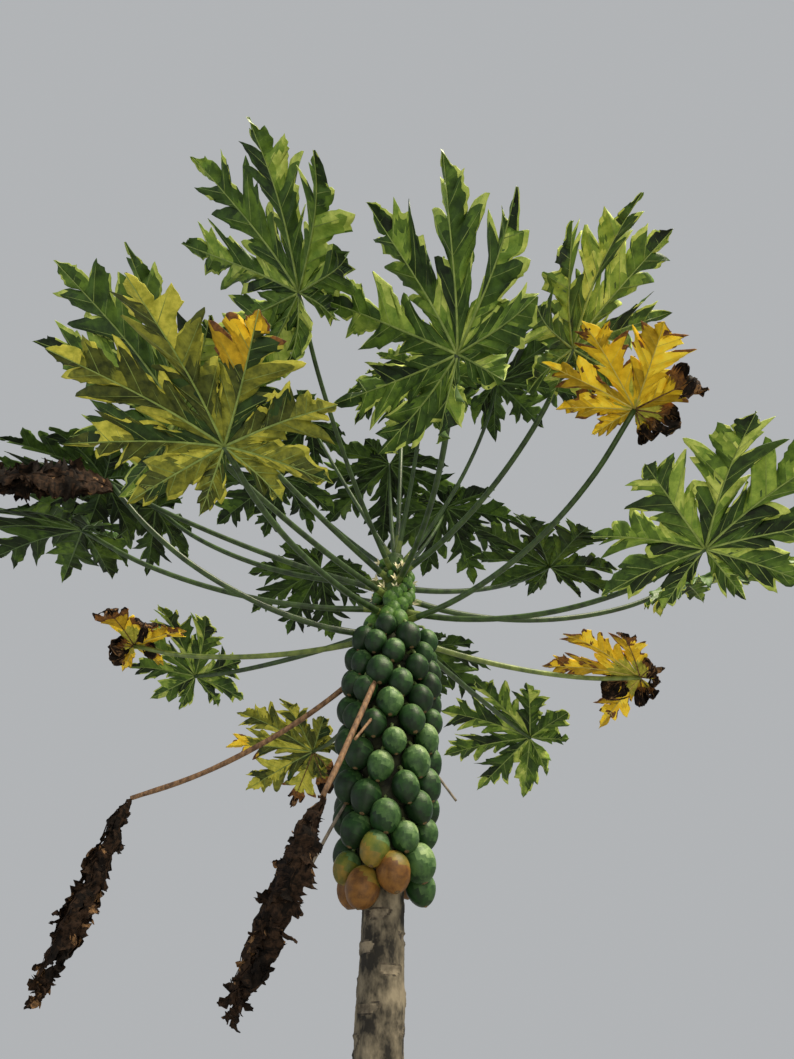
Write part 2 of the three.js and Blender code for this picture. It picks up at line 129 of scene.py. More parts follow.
MIDDLE_SIDE = [
    (0.31, 0.090, 0.10, 0), (0.44, 0.125, 0.23, 1), (0.45, 0.090, 0.27, 0), (0.43, 0.068, 0.31, 1),
    (0.54, 0.110, 0.38, 0), (0.62, 0.160, 0.43, 1), (0.64, 0.155, 0.45, 0), (0.76, 0.212, 0.50, 1),
    (0.725, 0.130, 0.54, 0), (0.65, 0.052, 0.58, 1), (0.73, 0.088, 0.65, 0), (0.84, 0.105, 0.73, 1),
    (0.83, 0.065, 0.765, 0), (0.80, 0.040, 0.80, 1), (0.90, 0.045, 0.89, 0), (1.0, 0.0, 1.0, 1),
]
PLAIN_SIDE = [
    (0.36, 0.115, 0.12, 0), (0.50, 0.160, 0.23, 1), (0.52, 0.120, 0.31, 1), (0.66, 0.160, 0.42, 0),
    (0.78, 0.165, 0.50, 1), (0.76, 0.100, 0.58, 1), (0.88, 0.080, 0.73, 0), (1.0, 0.0, 1.0, 1),
]
LOBE_SIDES = [FULL_SIDE, FULL_SIDE, MIDDLE_SIDE, PLAIN_SIDE, PLAIN_SIDE]
OUTLINE_WOBBLE = 0.016
EDGE_TEETH = 0.009
LOBE_BREADTH = 1.17
RUN_STEPS = 3
# Where veins leave the rib, to the points of the lobe and between them, and where each next point begins
POINT_VEINS = [0.23, 0.50, 0.73]
SIDE_VEINS = [0.13, 0.38, 0.64, 0.86]
VEINS = sorted(POINT_VEINS + SIDE_VEINS)
NEXT_POINTS = [0.31, 0.58, 0.80]
# The blade folds up in the notches between points, and each point lifts or drops by its own draw
FOLD_AT = [0, 0.23, 0.31, 0.50, 0.58, 0.73, 0.80, 0.92, 1]
FOLD_SHARE = [0.3, 0, 1, 0, 1, 0, 1, 0.2, 0]
LIFT_AT = [0, 0.12, 0.23, 0.31, 0.42, 0.50, 0.58, 0.66, 0.73, 0.80, 1]
LIFT_POINT = [0, 0, 0, -1, 1, 1, -1, 2, 2, -1, -1]
# Ribs and veins, as shares of the blade's size
RIB_RADIUS = 0.0095
RIB_TIP_RADIUS = 0.0024
RIB_STEPS = 16
RIB_SIDES = 6
VEIN_RADIUS = 0.0034
VEIN_TAPER = 0.35
SIDE_VEIN_SHARE = 0.65
VEIN_SIDES = 4
# Colours of a blade: how much its points differ in painted light and shade, then its patches and flecks of
# painted light and shade, and where it scorches or greens
POINT_CONTRAST = 0.85
PATCH_SPACING, PATCH_CONTRAST = 0.18, 0.5
FLECK_SPACING, FLECK_CONTRAST = 0.06, 0.16
SCORCH_BAND = 0.1
SPOTS_FROM = 0.45
GREEN_FOOT = 0.3
SPOT_SPACING, GREEN_SPACING, DRIED_SPACING = 26, 60, 20

# Fruit column
FRUIT_COUNT = 86
FRUIT_LOW = 2105
FRUIT_SPAN = 800
FRUIT_CROWDING = 0.26
FRUIT_OUT_LOW = 100
FRUIT_OUT_HIGH = 114
FRUIT_OUT_SWELL = 22
FRUIT_RADIUS_LOW = 43
FRUIT_RADIUS_HIGH = 34
FRUIT_LENGTHS = 1.14
FRUIT_FIRST_BEARING = -128
FRUIT_TURN_SPREAD = 5
FRUIT_RISE_SPREAD = 5
FRUIT_OUT_SPREAD = 6
FRUIT_SIZE_SPREAD = 0.09
TIER_STARTS = [0, 5, 20, 36, 52, 70]
FRUIT_SIDES = 20
FRUIT_LEVELS = 16
FRUIT_RIDGES = 5
FRUIT_RIDGE = 0.03
FRUIT_TILT = 16
FRUIT_TILT_SPREAD = 7
FRUIT_SWAY = 8
FRUIT_POINT = 1.75
FRUIT_SHOULDER = 2.4
FRUIT_ROUNDNESS = 0.54
FRUIT_ENDS = (0.035, 0.06)
# The painted sun: each fruit is painted paler on the side that faces this way, darker on the far side
PAINTED_SUN_SIDE = np.array([0.52, -0.33, 0.79])
FRUIT_FULLNESS = 1.06
FRUIT_VARIETY = 0.06
FRUIT_STRETCH = 0.07
CORE_RADIUS = 84
CORE_SPREAD = 7
CORE_RINGS = 12
CORE_SIDES = 20
YOUNG_COUNT = 84
YOUNG_LOW = 2925
YOUNG_STEP = 3.2
YOUNG_RADIUS = 28
YOUNG_RADIUS_TOP = 12
YOUNG_LENGTHS = 1.35
YOUNG_CORE = 14
YOUNG_OUT = 0.8
# How near a fruit may come to a leaf stalk, where 1 is touching: both give way a little
FRUIT_ROOM = 0.93
YOUNG_ROOM = 0.78
FLOWER_COUNT = 15
FLOWER_LOW = 3035
FLOWER_STEP = 12
FLOWER_SIZE = 18
FLOWER_OUT = 30
FLOWER_BEARING, FLOWER_SPREAD = -95, 75
PETALS = 5

# Shrivelled blades of dead leaves
STRIPS = 8
STRIP_ROWS, STRIP_COLUMNS = 70, 9
STRIP_BOW = 0.34
STRIP_HALF = 0.5
STRIP_CURL = 1.7
SCRAPS = 110
SCRAP_ROWS, SCRAP_COLUMNS = 10, 6
SCRAP_OUT = 0.42
SCRAP_LENGTH = 0.56
SCRAP_HALF = 0.34
HANG_THICKNESS = 1.6
# Crumples of the dried leaf: how far apart they are, and how deep
CRUMPLES = [(60, 13), (24, 10), (10, 4)]
DEAD_STALK_SIDES = 9


# Numbers and shapes
def jitter(a, b):
    """A repeatable value between -1 and 1 for a pair of numbers."""
    s = math.sin(a * 127.1 + b * 311.7) * 43758.5453
    return 2 * (s - math.floor(s)) - 1


def mix(a, b, t):
    return a + (b - a) * t


def heading(bearing, rise):
    b, e = math.radians(bearing), math.radians(rise)
    return np.array([math.cos(e) * math.cos(b), math.cos(e) * math.sin(b), math.sin(e)])


def unit(v):
    return v / np.maximum(np.linalg.norm(v, axis=-1, keepdims=True), 1e-9)


def unevenness(points, spacing, seed):
    """Smooth repeatable unevenness between -1 and 1 at each point. Its bumps lie about spacing apart."""
    p = np.asarray(points, float) / spacing + seed * 17.3
    cell = np.floor(p)
    t = p - cell
    t = t * t * (3 - 2 * t)
    total = np.zeros(p.shape[:-1])
    for dx in (0, 1):
        for dy in (0, 1):
            for dz in (0, 1):
                c = cell + (dx, dy, dz)
                h = np.sin(c[..., 0] * 127.1 + c[..., 1] * 311.7 + c[..., 2] * 74.7) * 43758.5453
                weight = np.abs(1 - dx - t[..., 0]) * np.abs(1 - dy - t[..., 1]) * np.abs(1 - dz - t[..., 2])
                total += (h - np.floor(h)) * weight
    return 2 * total - 1


def bumps(points, spacing, seed):
    """Unevenness in all three directions."""
    return np.stack([unevenness(points, spacing, seed + n) for n in (1, 2, 3)], -1)


def shades_of(value, names):
    """The name for each value between -1 and 1, from the first name to the last."""
    place = np.clip(((np.asarray(value) * 0.5 + 0.5) * len(names)).astype(int), 0, len(names) - 1)
    return np.array(names, dtype=object)[place]


def records(fields, rows):
    """The rows of a table as dicts with these fields."""
    return [dict(zip(fields.split(), row)) for row in rows]


def stem_radius(z):
    left = np.maximum(0, 1 - np.asarray(z, float) / STEM_HEIGHT)
    return mix(STEM_TIP_RADIUS, STEM_BASE_RADIUS, left ** STEM_TAPER_POWER)


def smooth_path(points, fine):
    """A smooth line through the points, with fine steps between each two."""
    p = np.vstack([2 * points[0] - points[1], points, 2 * points[-1] - points[-2]])
    out = []
    for k in range(len(points) - 1):
        a, b, c, d = p[k:k + 4]
        for i in range(fine):
            t = i / fine
            out.append(0.5 * (2 * b + (c - a) * t + (2 * a - 5 * b + 4 * c - d) * t ** 2
                              + (3 * b - a - 3 * c + d) * t ** 3))
    return np.array([*out, points[-1]])


# Materials
def linear(code):
    """An sRGB hex colour as linear RGBA."""
    values = [int(code[i:i + 2], 16) / 255 for i in (1, 3, 5)]
    return [v / 12.92 if v <= 0.04045 else ((v + 0.055) / 1.055) ** 2.4 for v in values] + [1]


def add(tree, kind, sockets=None, **settings):
    """Adds a node with its settings, and fills its sockets with values or links."""
    node = tree.nodes.new(kind)
    for key, value in settings.items():
        setattr(node, key, value)
    for key, value in (sockets or {}).items():
        if isinstance(value, bpy.types.NodeSocket):
            tree.links.new(value, node.inputs[key])
        else:
            node.inputs[key].default_value = value
    return node


def surface(name, colours, spot_mm, rough, grain_mm, grain,
            stretch=(1, 1, 1), cells=False, shine=0.4, bands=(0.36, 0.64)):
    """A plant surface: two colours in soft spots of spot_mm, and a relief with a grain of grain_mm."""
    material = bpy.data.materials.new(name)
    material.use_nodes = True
    tree = material.node_tree
    tree.nodes.clear()
    place = add(tree, "ShaderNodeTexCoord").outputs["Object"]
    place = add(tree, "ShaderNodeMapping", {"Vector": place, "Scale": stretch}).outputs["Vector"]
    spots = add(tree, "ShaderNodeTexNoise",
                {"Vector": place, "Scale": 1000 / spot_mm, "Detail": 4.0, "Roughness": 0.62})
    ramp = add(tree, "ShaderNodeValToRGB", {"Fac": spots.outputs["Fac"]})
    ends = ramp.color_ramp.elements
    ends[0].position, ends[1].position = bands
    ends[0].color, ends[1].color = [linear(code) for code in colours.split()]
    if cells:
        relief = add(tree, "ShaderNodeTexVoronoi", {"Vector": place, "Scale": 1000 / grain_mm},
                     feature="DISTANCE_TO_EDGE").outputs["Distance"]
    else:
        relief = add(tree, "ShaderNodeTexNoise",
                     {"Vector": place, "Scale": 1000 / grain_mm, "Detail": 5.0}).outputs["Fac"]
    bump = add(tree, "ShaderNodeBump",
               {"Height": relief, "Strength": grain, "Distance": grain_mm * METRES * 0.2})
    shader = add(tree, "ShaderNodeBsdfPrincipled", {
        "Base Color": ramp.outputs["Color"], "Roughness": rough, "Normal": bump.outputs["Normal"],
        "Specular IOR Level": shine,
    })
    add(tree, "ShaderNodeOutputMaterial", {"Surface": shader.outputs["BSDF"]})
    material.diffuse_color = ends[0].color
    return material


def blade_finish(name, colours, spot_mm, upper=False):
    """Papaya leaf blade. Its upper face has a thin cuticle and shines softly; the lower one is dull.
    Its finest veins, 2 mm apart, are drawn 8 mm apart so that they show."""
    rough, grain, shine = (0.5, 0.4, 0.35) if upper else (0.65, 0.5, 0.2)
    return surface("papaya_leaf_" + name, colours, spot_mm, rough, 8, grain, cells=True, shine=shine)


def fruit_skin(name, colours, spot_mm, grain=0.2):
    """Papaya fruit: a waxy skin with a wide soft highlight. Its fine pores are drawn 3 mm apart to show."""
    return surface("papaya_skin_" + name, colours, spot_mm, 0.5, 3, grain, shine=0.25)


FINISH = {
    # Upper faces, from grass green to nearly black green
    "green_upper": blade_finish("green_upper", "#2c4618 #4a6a25", 55, upper=True),
    "deep_upper": blade_finish("deep_upper", "#223616 #36521f", 55, upper=True),
    "olive_upper": blade_finish("olive_upper", "#63702a #868a35", 40, upper=True),
    "gold_upper": blade_finish("gold_upper", "#c08e14 #e0b224", 45, upper=True),
    # Lower faces, in steps from painted shade to painted light: where light falls through the tissue, that is
    # painted lighter and yellower
    "lower_0": blade_finish("lower_darkest_shade", "#121c0e #243518", 40),
    "lower_1": blade_finish("lower_shaded", "#1b2a12 #31481c", 40),
    "lower_2": blade_finish("lower_deep_shade", "#283c17 #445f21", 40),
    "lower_3": blade_finish("lower_green", "#3a521d #5f7b2a", 38),
    "lower_4": blade_finish("lower_lit", "#5f7d2c #8fa544", 34),
    "lower_5": blade_finish("lower_sunlit", "#8ea444 #bfca68", 30),
    # Yellowing tissue loses its green from the lobe's edge inwards; its darker and lighter steps here are
    # also painted shade and painted light falling through
    "olive_1": blade_finish("yellowing_shaded", "#2b3414 #525a20", 30),
    "olive_2": blade_finish("yellowing_olive", "#525a1f #8a8c30", 28),
    "olive_3": blade_finish("yellowing_lime", "#969834 #ccc650", 26),
    # Gold tissue, in steps from painted shade to painted light falling through it
    "gold_1": blade_finish("gold_shaded", "#9c8018 #c8a424", 30),
    "gold_2": blade_finish("gold_mid", "#d4ac1e #f2cc30", 32),
    "gold_3": blade_finish("gold_sunlit", "#fcd028 #ffe54c", 30),
    # Leaf tissue that has scorched and dried: brittle, dull, with lighter flecks where the skin has lifted
    "burnt": surface("papaya_leaf_scorched_edge", "#4a2c15 #8a5a20", 12, 0.8, 6, 0.6),
    "dry_dark": surface("papaya_leaf_dried_dark", "#090706 #1e1712", 12, 0.9, 6, 0.9, shine=0.12),
    "dry_brown": surface("papaya_leaf_dried_brown", "#110d0a #38291e", 12, 0.9, 6, 0.9, shine=0.12),
    "dry_tan": surface("papaya_leaf_dried_tan", "#30231a #8a6844", 10, 0.85, 6, 0.9, shine=0.2),
    # Ribs and stalks: juicy and smooth, so they carry a soft highlight along them
    "rib_green": surface("papaya_rib_pale_green", "#677b37 #8a9c4e", 25, 0.5, 5, 0.15),
    "rib_deep": surface("papaya_rib_mid_green", "#40592a #5a7536", 25, 0.5, 5, 0.15),
    "rib_gold": surface("papaya_rib_yellowed", "#b9a848 #cdbb62", 25, 0.5, 5, 0.15),
    "stalk_green": surface("papaya_stalk_green", "#213217 #3c5326", 30, 0.42, 6, 0.2, (1, 1, 0.5)),
    "stalk_pale": surface("papaya_stalk_pale", "#4c5d2c #75833f", 30, 0.42, 6, 0.2, (1, 1, 0.5)),
    # Dead stalks: fibres show as long streaks
    "stalk_tan": surface("papaya_dead_stalk_tan", "#4f3826 #8c6b4b", 12, 0.72, 4, 0.7, (1, 1, 0.35)),
    "stalk_grey": surface("papaya_dead_stalk_grey", "#544d44 #857b6d", 12, 0.8, 4, 0.7, (1, 1, 0.35)),
    # Papaya bark: soft grey-brown skin, stained and cracked lengthwise, with corky leaf scars
    "bark": surface("papaya_bark", "#221f19 #8d826c", 60, 0.86, 7, 1.0, (1, 1, 0.6), bands=(0.43, 0.66)),
    "scar": surface("papaya_leaf_scar_cork", "#433c32 #877c68", 30, 0.9, 4, 0.9),
    "scar_rim": surface("papaya_leaf_scar_rim", "#241f19 #5d5446", 24, 0.88, 5, 0.9),
    "young_bark": surface("papaya_young_bark_green", "#2c3d1e #46602c", 40, 0.6, 7, 0.4),
    # Papaya fruit, from the green skins, in steps from painted shade to painted sunlight, to the ripening
    # ones
    "fruit_1": fruit_skin("dark_green", "#0b1c0c #152e12", 24),
    "fruit_2": fruit_skin("green", "#112711 #1f3f19", 24),
    "fruit_3": fruit_skin("mid_green", "#233e1e #405f30", 22),
    "fruit_4": fruit_skin("pale_green", "#36542d #607d4b", 20),
    "fruit_5": fruit_skin("sunlit_green", "#52703f #8ba26c", 18),
    "fruit_young": fruit_skin("young", "#34561f #567a30", 14, 0.15),
    "fruit_ripe": fruit_skin("ripe", "#56381a #7c5524", 26, 0.15),
    "fruit_amber": fruit_skin("amber", "#5a5722 #876d2b", 30, 0.15),
    "fruit_turning": fruit_skin("turning", "#45561f #6c6c26", 30, 0.15),
    # The dried blossom end, the bark between the fruits, painted dark as painted shade, and their short stems
    "fruit_end": surface("papaya_blossom_end", "#40321f #6c5836", 6, 0.8, 2, 0.4),
    "fruit_core_shade": surface("papaya_fruit_bearing_bark_painted_shade", "#14170d #343820", 25, 0.8, 6, 0.8),
    "fruit_stem": surface("papaya_fruit_stem", "#5a6f3c #76884d", 12, 0.55, 3, 0.2),
    # Papaya blossom: thick waxy cream petals
    "petal": surface("papaya_petal_cream", "#e6dcae #f3ecca", 8, 0.5, 2, 0.1),
    # Studio floor: matt paint, pale and even
    "floor": surface("studio_floor_paint", "#b6b6b2 #bcbcb8", 900, 0.9, 300, 0.02),
}


# Making a piece
class Part:
    """Corners and faces of one piece, each face with the name of its finish."""

    def __init__(self):
        self.points, self.faces, self.finishes, self.flat, self.count = [], [], [], [], 0

    def put(self, points, faces, finish):
        points = np.asarray(points, float).reshape(-1, 3)
        self.points.append(points)
        self.count += len(points)
        self.face(np.asarray(faces, int) + self.count - len(points), finish)

    def face(self, faces, finish, flat=False):
        """Faces between corners that are there already."""
        self.faces.extend(faces.tolist())
        self.finishes.extend([finish] * len(faces) if isinstance(finish, str) else list(finish))
        self.flat.extend([flat] * len(faces))

    def make(self, name, slot, *nodes):
        mesh = bpy.data.meshes.new(name)
        faces = [tuple(dict.fromkeys(f)) for f in self.faces]
        keep = [i for i, f in enumerate(faces) if len(f) > 2]
        mesh.from_pydata((np.vstack(self.points) * METRES).tolist(), [], [faces[i] for i in keep])
        names = list(dict.fromkeys(self.finishes[i] for i in keep))
        for n in names:
            mesh.materials.append(FINISH[n])
        order = {n: k for k, n in enumerate(names)}
        mesh.polygons.foreach_set("material_index", [order[self.finishes[i]] for i in keep])
        mesh.polygons.foreach_set("use_smooth", [not self.flat[i] for i in keep])
        mesh.update()
        piece = set_out(name, mesh)
        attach(piece, BODY)
        if nodes:
            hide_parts(*nodes)


def set_out(name, data):
    """Adds an object to the scene."""
    thing = bpy.data.objects.new(name, data)
    bpy.context.scene.collection.objects.link(thing)
    return thing


def grid_faces(rows, columns, around=False):
    """Quads of a grid of points, rows by columns, closed round its columns if asked."""
    r, c = np.meshgrid(np.arange(rows - 1), np.arange(columns if around else columns - 1), indexing="ij")
    n = (c + 1) % columns
    a, b = r * columns, (r + 1) * columns
    return np.stack([a + c, a + n, b + n, b + c], -1).reshape(-1, 4)


def closed_grid(part, rings, first, last, finishes, first_finish, last_finish):
    """Rings of points joined into one closed body by a point at each end."""
    rows, sides = rings.shape[:2]
    points = np.vstack([rings.reshape(-1, 3), first, last])
    foot, head, top = rows * sides, rows * sides + 1, (rows - 1) * sides
    s = np.arange(sides)
    n = (s + 1) % sides
    faces = np.vstack([grid_faces(rows, sides, around=True),
                       np.stack([np.full(sides, foot), n, s, s], -1),
                       np.stack([np.full(sides, head), top + s, top + n, top + n], -1)])
    if isinstance(finishes, str):
        finishes = [finishes] * ((rows - 1) * sides)
    part.put(points, faces, list(finishes) + [first_finish] * sides + [last_finish] * sides)


def tube(part, path, radius, sides, finish, reference=(0, 0, 1)):
    """A closed round tube along a path."""
    path = np.asarray(path, float)
    way = unit(np.gradient(path, axis=0))
    across = unit(np.cross(np.asarray(reference, float), way))
    up = np.cross(way, across)
    turn = np.linspace(0, 2 * math.pi, sides, endpoint=False)
    r = np.broadcast_to(np.asarray(radius, float).reshape(-1, 1), (len(path), sides))[..., None]
    rings = (path[:, None] + across[:, None] * r * np.cos(turn)[:, None]
             + up[:, None] * r * np.sin(turn)[:, None])
    ends = (finish, finish) if isinstance(finish, str) else (finish[0], finish[-1])
    closed_grid(part, rings, path[:1], path[-1:], finish, *ends)


# Leaves, round the stem from its foot up: where each leaves the trunk, how its stalk bends,
# and how its blade is turned. Front leaves have bearings near -90.
LEAVES = records("name colour z bearing rise length end_rise end_bearing size yaw tilt roll", [
    ("back_low_olive", "olive", 2840, 107, -11, 940, 11, 114, 365, 55, 17, 32),
    ("right_low_yellow", "yellow", 2920, 20, -12, 930, 10, 19, 350, 153, 25, 15),
    ("left_low_yellow", "yellow", 2915, 167, -9, 990, 21, 159, 290, 101, 16, 9),
    ("back_right_low", "green", 2950, 51, -11, 960, 1, 60, 380, 122, 29, 27),
    ("back_left_low", "green", 2950, 150, -5, 950, 14, 139, 350, 115, 40, -9),
    ("right_front_yellow", "yellow", 2950, -33, 0, 1040, 37, -58, 345, -29, 7, -30),
    ("back_low", "deep_green", 2960, 79, 16, 950, 28, 82, 330, 0, -14, 0),
    ("front_left_yellowing", "olive", 2975, -128, -5, 950, 7, -104, 470, -2, 22, -6),
    ("right_large", "green", 3005, -8, -17, 1020, 14, -41, 480, -52, 25, 4),
    ("left_large", "deep_green", 3015, -177, -4, 1100, 29, -170, 430, 2, 8, -13),
    ("right", "green", 3065, 7, -19, 1030, 27, -4, 420, -13, 12, 25),
    ("back_left_drooping", "deep_green", 3050, 116, 26, 940, 47, 115, 360, 6, -20, 6),
    ("front_left_green", "green", 3050, -130, 2, 960, 14, -125, 490, -5, 45, -12),
    ("left_upper", "deep_green", 3080, 183, 15, 1100, 26, 192, 390, -4, 12, 2),
    ("front_centre", "green", 3100, -73, -2, 990, 14, -89, 500, -55, 66, -4),
    ("back_right", "deep_green", 3105, 38, 14, 930, 39, 40, 430, -149, 12, -18),
    ("left_inner", "deep_green", 3120, 170, 5, 1010, 42, 177, 380, 0, 6, 10),
    ("front_left_inner", "green", 3118, -132, 12, 790, 22, -130, 400, 7, 20, -7),
    ("front_right_green", "green", 3140, -44, 8, 970, 38, -62, 460, -20, 35, 39),
    ("front_tall", "green", 3145, -113, 22, 1010, 24, -101, 490, -38, 53, -10),
    ("back_right_upper", "deep_green", 3165, 67, 43, 940, 55, 70, 400, -2, -14, 1),
    ("back_left_upper", "deep_green", 3170, 144, 46, 940, 53, 140, 400, 2, 6, 3),
    ("right_upper", "deep_green", 3180, -7, 52, 940, 77, -10, 430, -10, 14, 8),
    ("back_upper", "deep_green", 3205, 95, 58, 950, 64, 92, 430, 4, -12, 6),
    ("back_left_young", "deep_green", 3222, 152, 62, 880, 66, 160, 350, 1, 2, 0),
    ("right_young", "green", 3225, -60, 66, 700, 70, -70, 290, 0, 10, 0),
    ("top_young", "green", 3252, 60, 86, 930, 88, 60, 380, 0, 6, 0),
])

# Lobes that have dried and curled under, by leaf and number round the blade, with where the curl starts
CURLED = {
    "right_front_yellow": {5: 0.62, 6: 0.36, 7: 0.3, 8: 0.5},
    "left_low_yellow": {1: 0.35, 2: 0.24, 3: 0.2, 4: 0.72, 5: 0.5, 7: 0.3},
    "right_low_yellow": {0: 0.4, 1: 0.3, 3: 0.26, 6: 0.8, 7: 0.42, 8: 0.4},
    "back_low_olive": {0: 0.6, 1: 0.62, 2: 0.8},
}
# Lobes that have turned gold, with where the gold starts on the two sides of their rib
GOLDEN = {"front_left_yellowing": {5: (0.56, 0.86)}, "back_low_olive": {4: (0.7, 0.75)}}
DRIED_LOBE = ["dry_dark", "dry_dark", "dry_brown", "dry_tan"]
# Each colour of leaf: its slot, upper face, ribs, stalk, the finishes of its lower face from painted shade to
# painted light, the finish of its lower rims (a painted backlit rim, but a scorched one on yellow leaves),
# and how much of the rims takes it
COATS = {
    "green": dict(slot="leaf_green", upper="green_upper", rib="rib_green", stalk="stalk_green",
                  lower=[f"lower_{n}" for n in "01223345"],
                  rim="lower_5", share=0.1),
    "deep_green": dict(slot="leaf_deep_green", upper="deep_upper", rib="rib_deep", stalk="stalk_green",
                       lower=[f"lower_{n}" for n in "0011223"],
                       rim="lower_3", share=-0.3),
    "olive": dict(slot="leaf_olive", upper="olive_upper", rib="rib_green", stalk="stalk_green",
                  lower=["lower_1", "olive_1", "olive_1", "olive_2", "olive_2", "olive_3", "olive_3"],
                  rim="olive_3", share=0.2),
    "yellow": dict(slot="leaf_yellow", upper="gold_upper", rib="rib_gold", stalk="stalk_pale",
                   lower=[f"gold_{n}" for n in "112233"],
                   rim="burnt", share=-0.2),
}


def stalk_path(spec):
    path = [np.array([STEM_LEAN * spec["z"], 0, spec["z"]])]
    inside = stem_radius(spec["z"]) * STALK_ROOT
    path[0] = path[0] + heading(spec["bearing"], 0) * inside
    step = (spec["length"] + stem_radius(spec["z"]) - inside) / STALK_SEGMENTS
    for k in range(STALK_SEGMENTS):
        s = (k + 0.5) / STALK_SEGMENTS
        way = heading(mix(spec["bearing"], spec["end_bearing"], s), mix(spec["rise"], spec["end_rise"], s))
        path.append(path[k] + way * step)
    return np.array(path)


def stalk_radius(s, scale):
    shaft = mix(STALK_MID_RADIUS, STALK_END_RADIUS, s)
    return scale * mix(shaft, STALK_FOOT_RADIUS, np.exp(-s / STALK_FOOT_SPREAD))


def blade_axes(spec):
    ahead = heading(spec["end_bearing"] + spec["yaw"], spec["tilt"])
    flat = heading(spec["end_bearing"] + spec["yaw"] + 90, 0)
    above = np.cross(ahead, flat)
    roll = math.radians(spec["roll"])
    aside = flat * math.cos(roll) + above * math.sin(roll)
    return ahead, aside, np.cross(ahead, aside)


def lobes_of(spec, seed):
    order = [(k, -LOBE_ANGLES[k]) for k in (4, 3, 2, 1)] + [(k, LOBE_ANGLES[k]) for k in range(5)]
    size = spec["size"]
    return [dict(k=k, angle=math.radians(a + LOBE_ANGLE_SPREAD * jitter(seed, i)),
                 reach=size * LOBE_REACHES[k] * (1 + LOBE_REACH_SPREAD * jitter(seed + REACH_SEED, i)))
            for i, (k, a) in enumerate(order)]


def sag(distance, size):
    return -BLADE_CONE * distance - BLADE_DROOP * distance * distance / size


def half_outline(side, notch, seed):
    """Points along half a lobe from its notch: along, out and rib start, corners kept sharp."""
    keys = [(*notch, 0.0, 1)]
    for n, (u, v, r, corner) in enumerate(side):
        wobble = 0.0 if n == len(side) - 1 else OUTLINE_WOBBLE
        wide = v * LOBE_BREADTH * (1 + 8 * wobble * jitter(seed + 7, n))
        keys.append((u + wobble * jitter(seed, n), max(0, wide), r, corner))
    out, run = [], [keys[0]]
    for key in keys[1:]:
        run.append(key)
        if key[3]:
            out.append(smooth_path(np.array([k[:3] for k in run]), RUN_STEPS)[:-1])
            run = [key]
    line = np.vstack([*out, [keys[-1][:3]]])
    teeth = EDGE_TEETH * np.array([jitter(seed + 3, n) for n in range(len(line) - 2)])
    line[1:-1, 1] = np.maximum(0.004, line[1:-1, 1] + teeth)
    return line


def half_lobe(line, reach, size, side, half_seed, lobe_seed):
    """Along, out and height of a grid of points from the rib to the outline of half a lobe."""
    w = np.linspace(0, 1, BLADE_ROWS + 1) ** 0.85
    vein = line[:, 2:3]
    along = (vein * (1 - w) + line[:, 0:1] * w) * reach
    out = line[:, 1:2] * w * reach
    begins = np.clip(vein / RELIEF_FROM, 0, 1)
    between = np.interp(vein[:, 0], [0, *VEINS, 1], np.arange(len(VEINS) + 2))[:, None]
    blister = np.sin(math.pi * (between % 1)) ** 2 * np.sin(math.pi * np.clip(w, 0, 0.92) ** 0.8)
    fold = np.interp(vein[:, 0], FOLD_AT, FOLD_SHARE)[:, None]
    lifts = [0 if p < 0 or at == 0 else jitter(half_seed * 1.3, p + 11)
             for p, at in zip(LIFT_POINT, LIFT_AT)]
    lift = np.interp(vein[:, 0], LIFT_AT, lifts)[:, None]
    far = np.clip(along / reach, 0, 1)
    h = sag(along, size) + BLADE_FOLD * out
    h = h + begins * blister * BLISTER * size + begins * fold * w ** 1.6 * POINT_FOLD * size
    h = h + begins * lift * w ** 1.5 * POINT_LIFT * size
    h = h + begins * w ** 2 * EDGE_WAVE * size * np.sin(vein * EDGE_WAVES + 5 * jitter(half_seed, 40))
    h = h + LOBE_TWIST * jitter(lobe_seed, 41) * out * far * side
    h = h - LOBE_BEND * size * (1 + jitter(lobe_seed, 43)) * far ** 3
    h = h + 0.4 * LOBE_BEND * size * far * np.sin(far * 5 + 3 * jitter(lobe_seed, 44))
    return along, out, h


def curl_under(along, out, h, start, reach, size, seed):
    """Rolls what lies beyond start under, and crumples it."""
    beyond = along > start
    curl = reach * CURL_RADIUS
    turn = np.clip((along - start) / curl, 0, CURL_TURN)
    grown = np.clip(turn, 0, 1)
    crumple = bumps(np.stack([along, out, along * 0 + seed], -1), CRUMPLE_SPACING, seed)
    rolled = sag(start, size) + BLADE_FOLD * out - curl * (1 - np.cos(turn)) + crumple[..., 2] * CRUMPLE_UP
    narrow = out * (1 - CURL_NARROWS * np.clip(turn / 2, 0, 1)) + crumple[..., 1] * CRUMPLE_ASIDE * grown
    ahead = start + curl * np.sin(turn) + crumple[..., 0] * CRUMPLE_AHEAD * grown
    return (np.where(beyond, ahead, along), np.where(beyond & (out > 0), narrow, out),
            np.where(beyond, rolled, h))


def notch_beside(lobes, i, side, size):
    """Where the notch at one side of a lobe lies: along the lobe and out from its rib."""
    reach = lobes[i]["reach"]
    if (i == 0 and side < 0) or (i == len(lobes) - 1 and side > 0):
        gap, notch_reach = math.radians(BACK_EDGE_TURN), size * BACK_EDGE_REACH
    else:
        gap, notch_reach = abs(lobes[i + side]["angle"] - lobes[i]["angle"]) / 2, size * SINUS_REACH
    return notch_reach * math.cos(gap) / reach, notch_reach * math.sin(gap) / reach


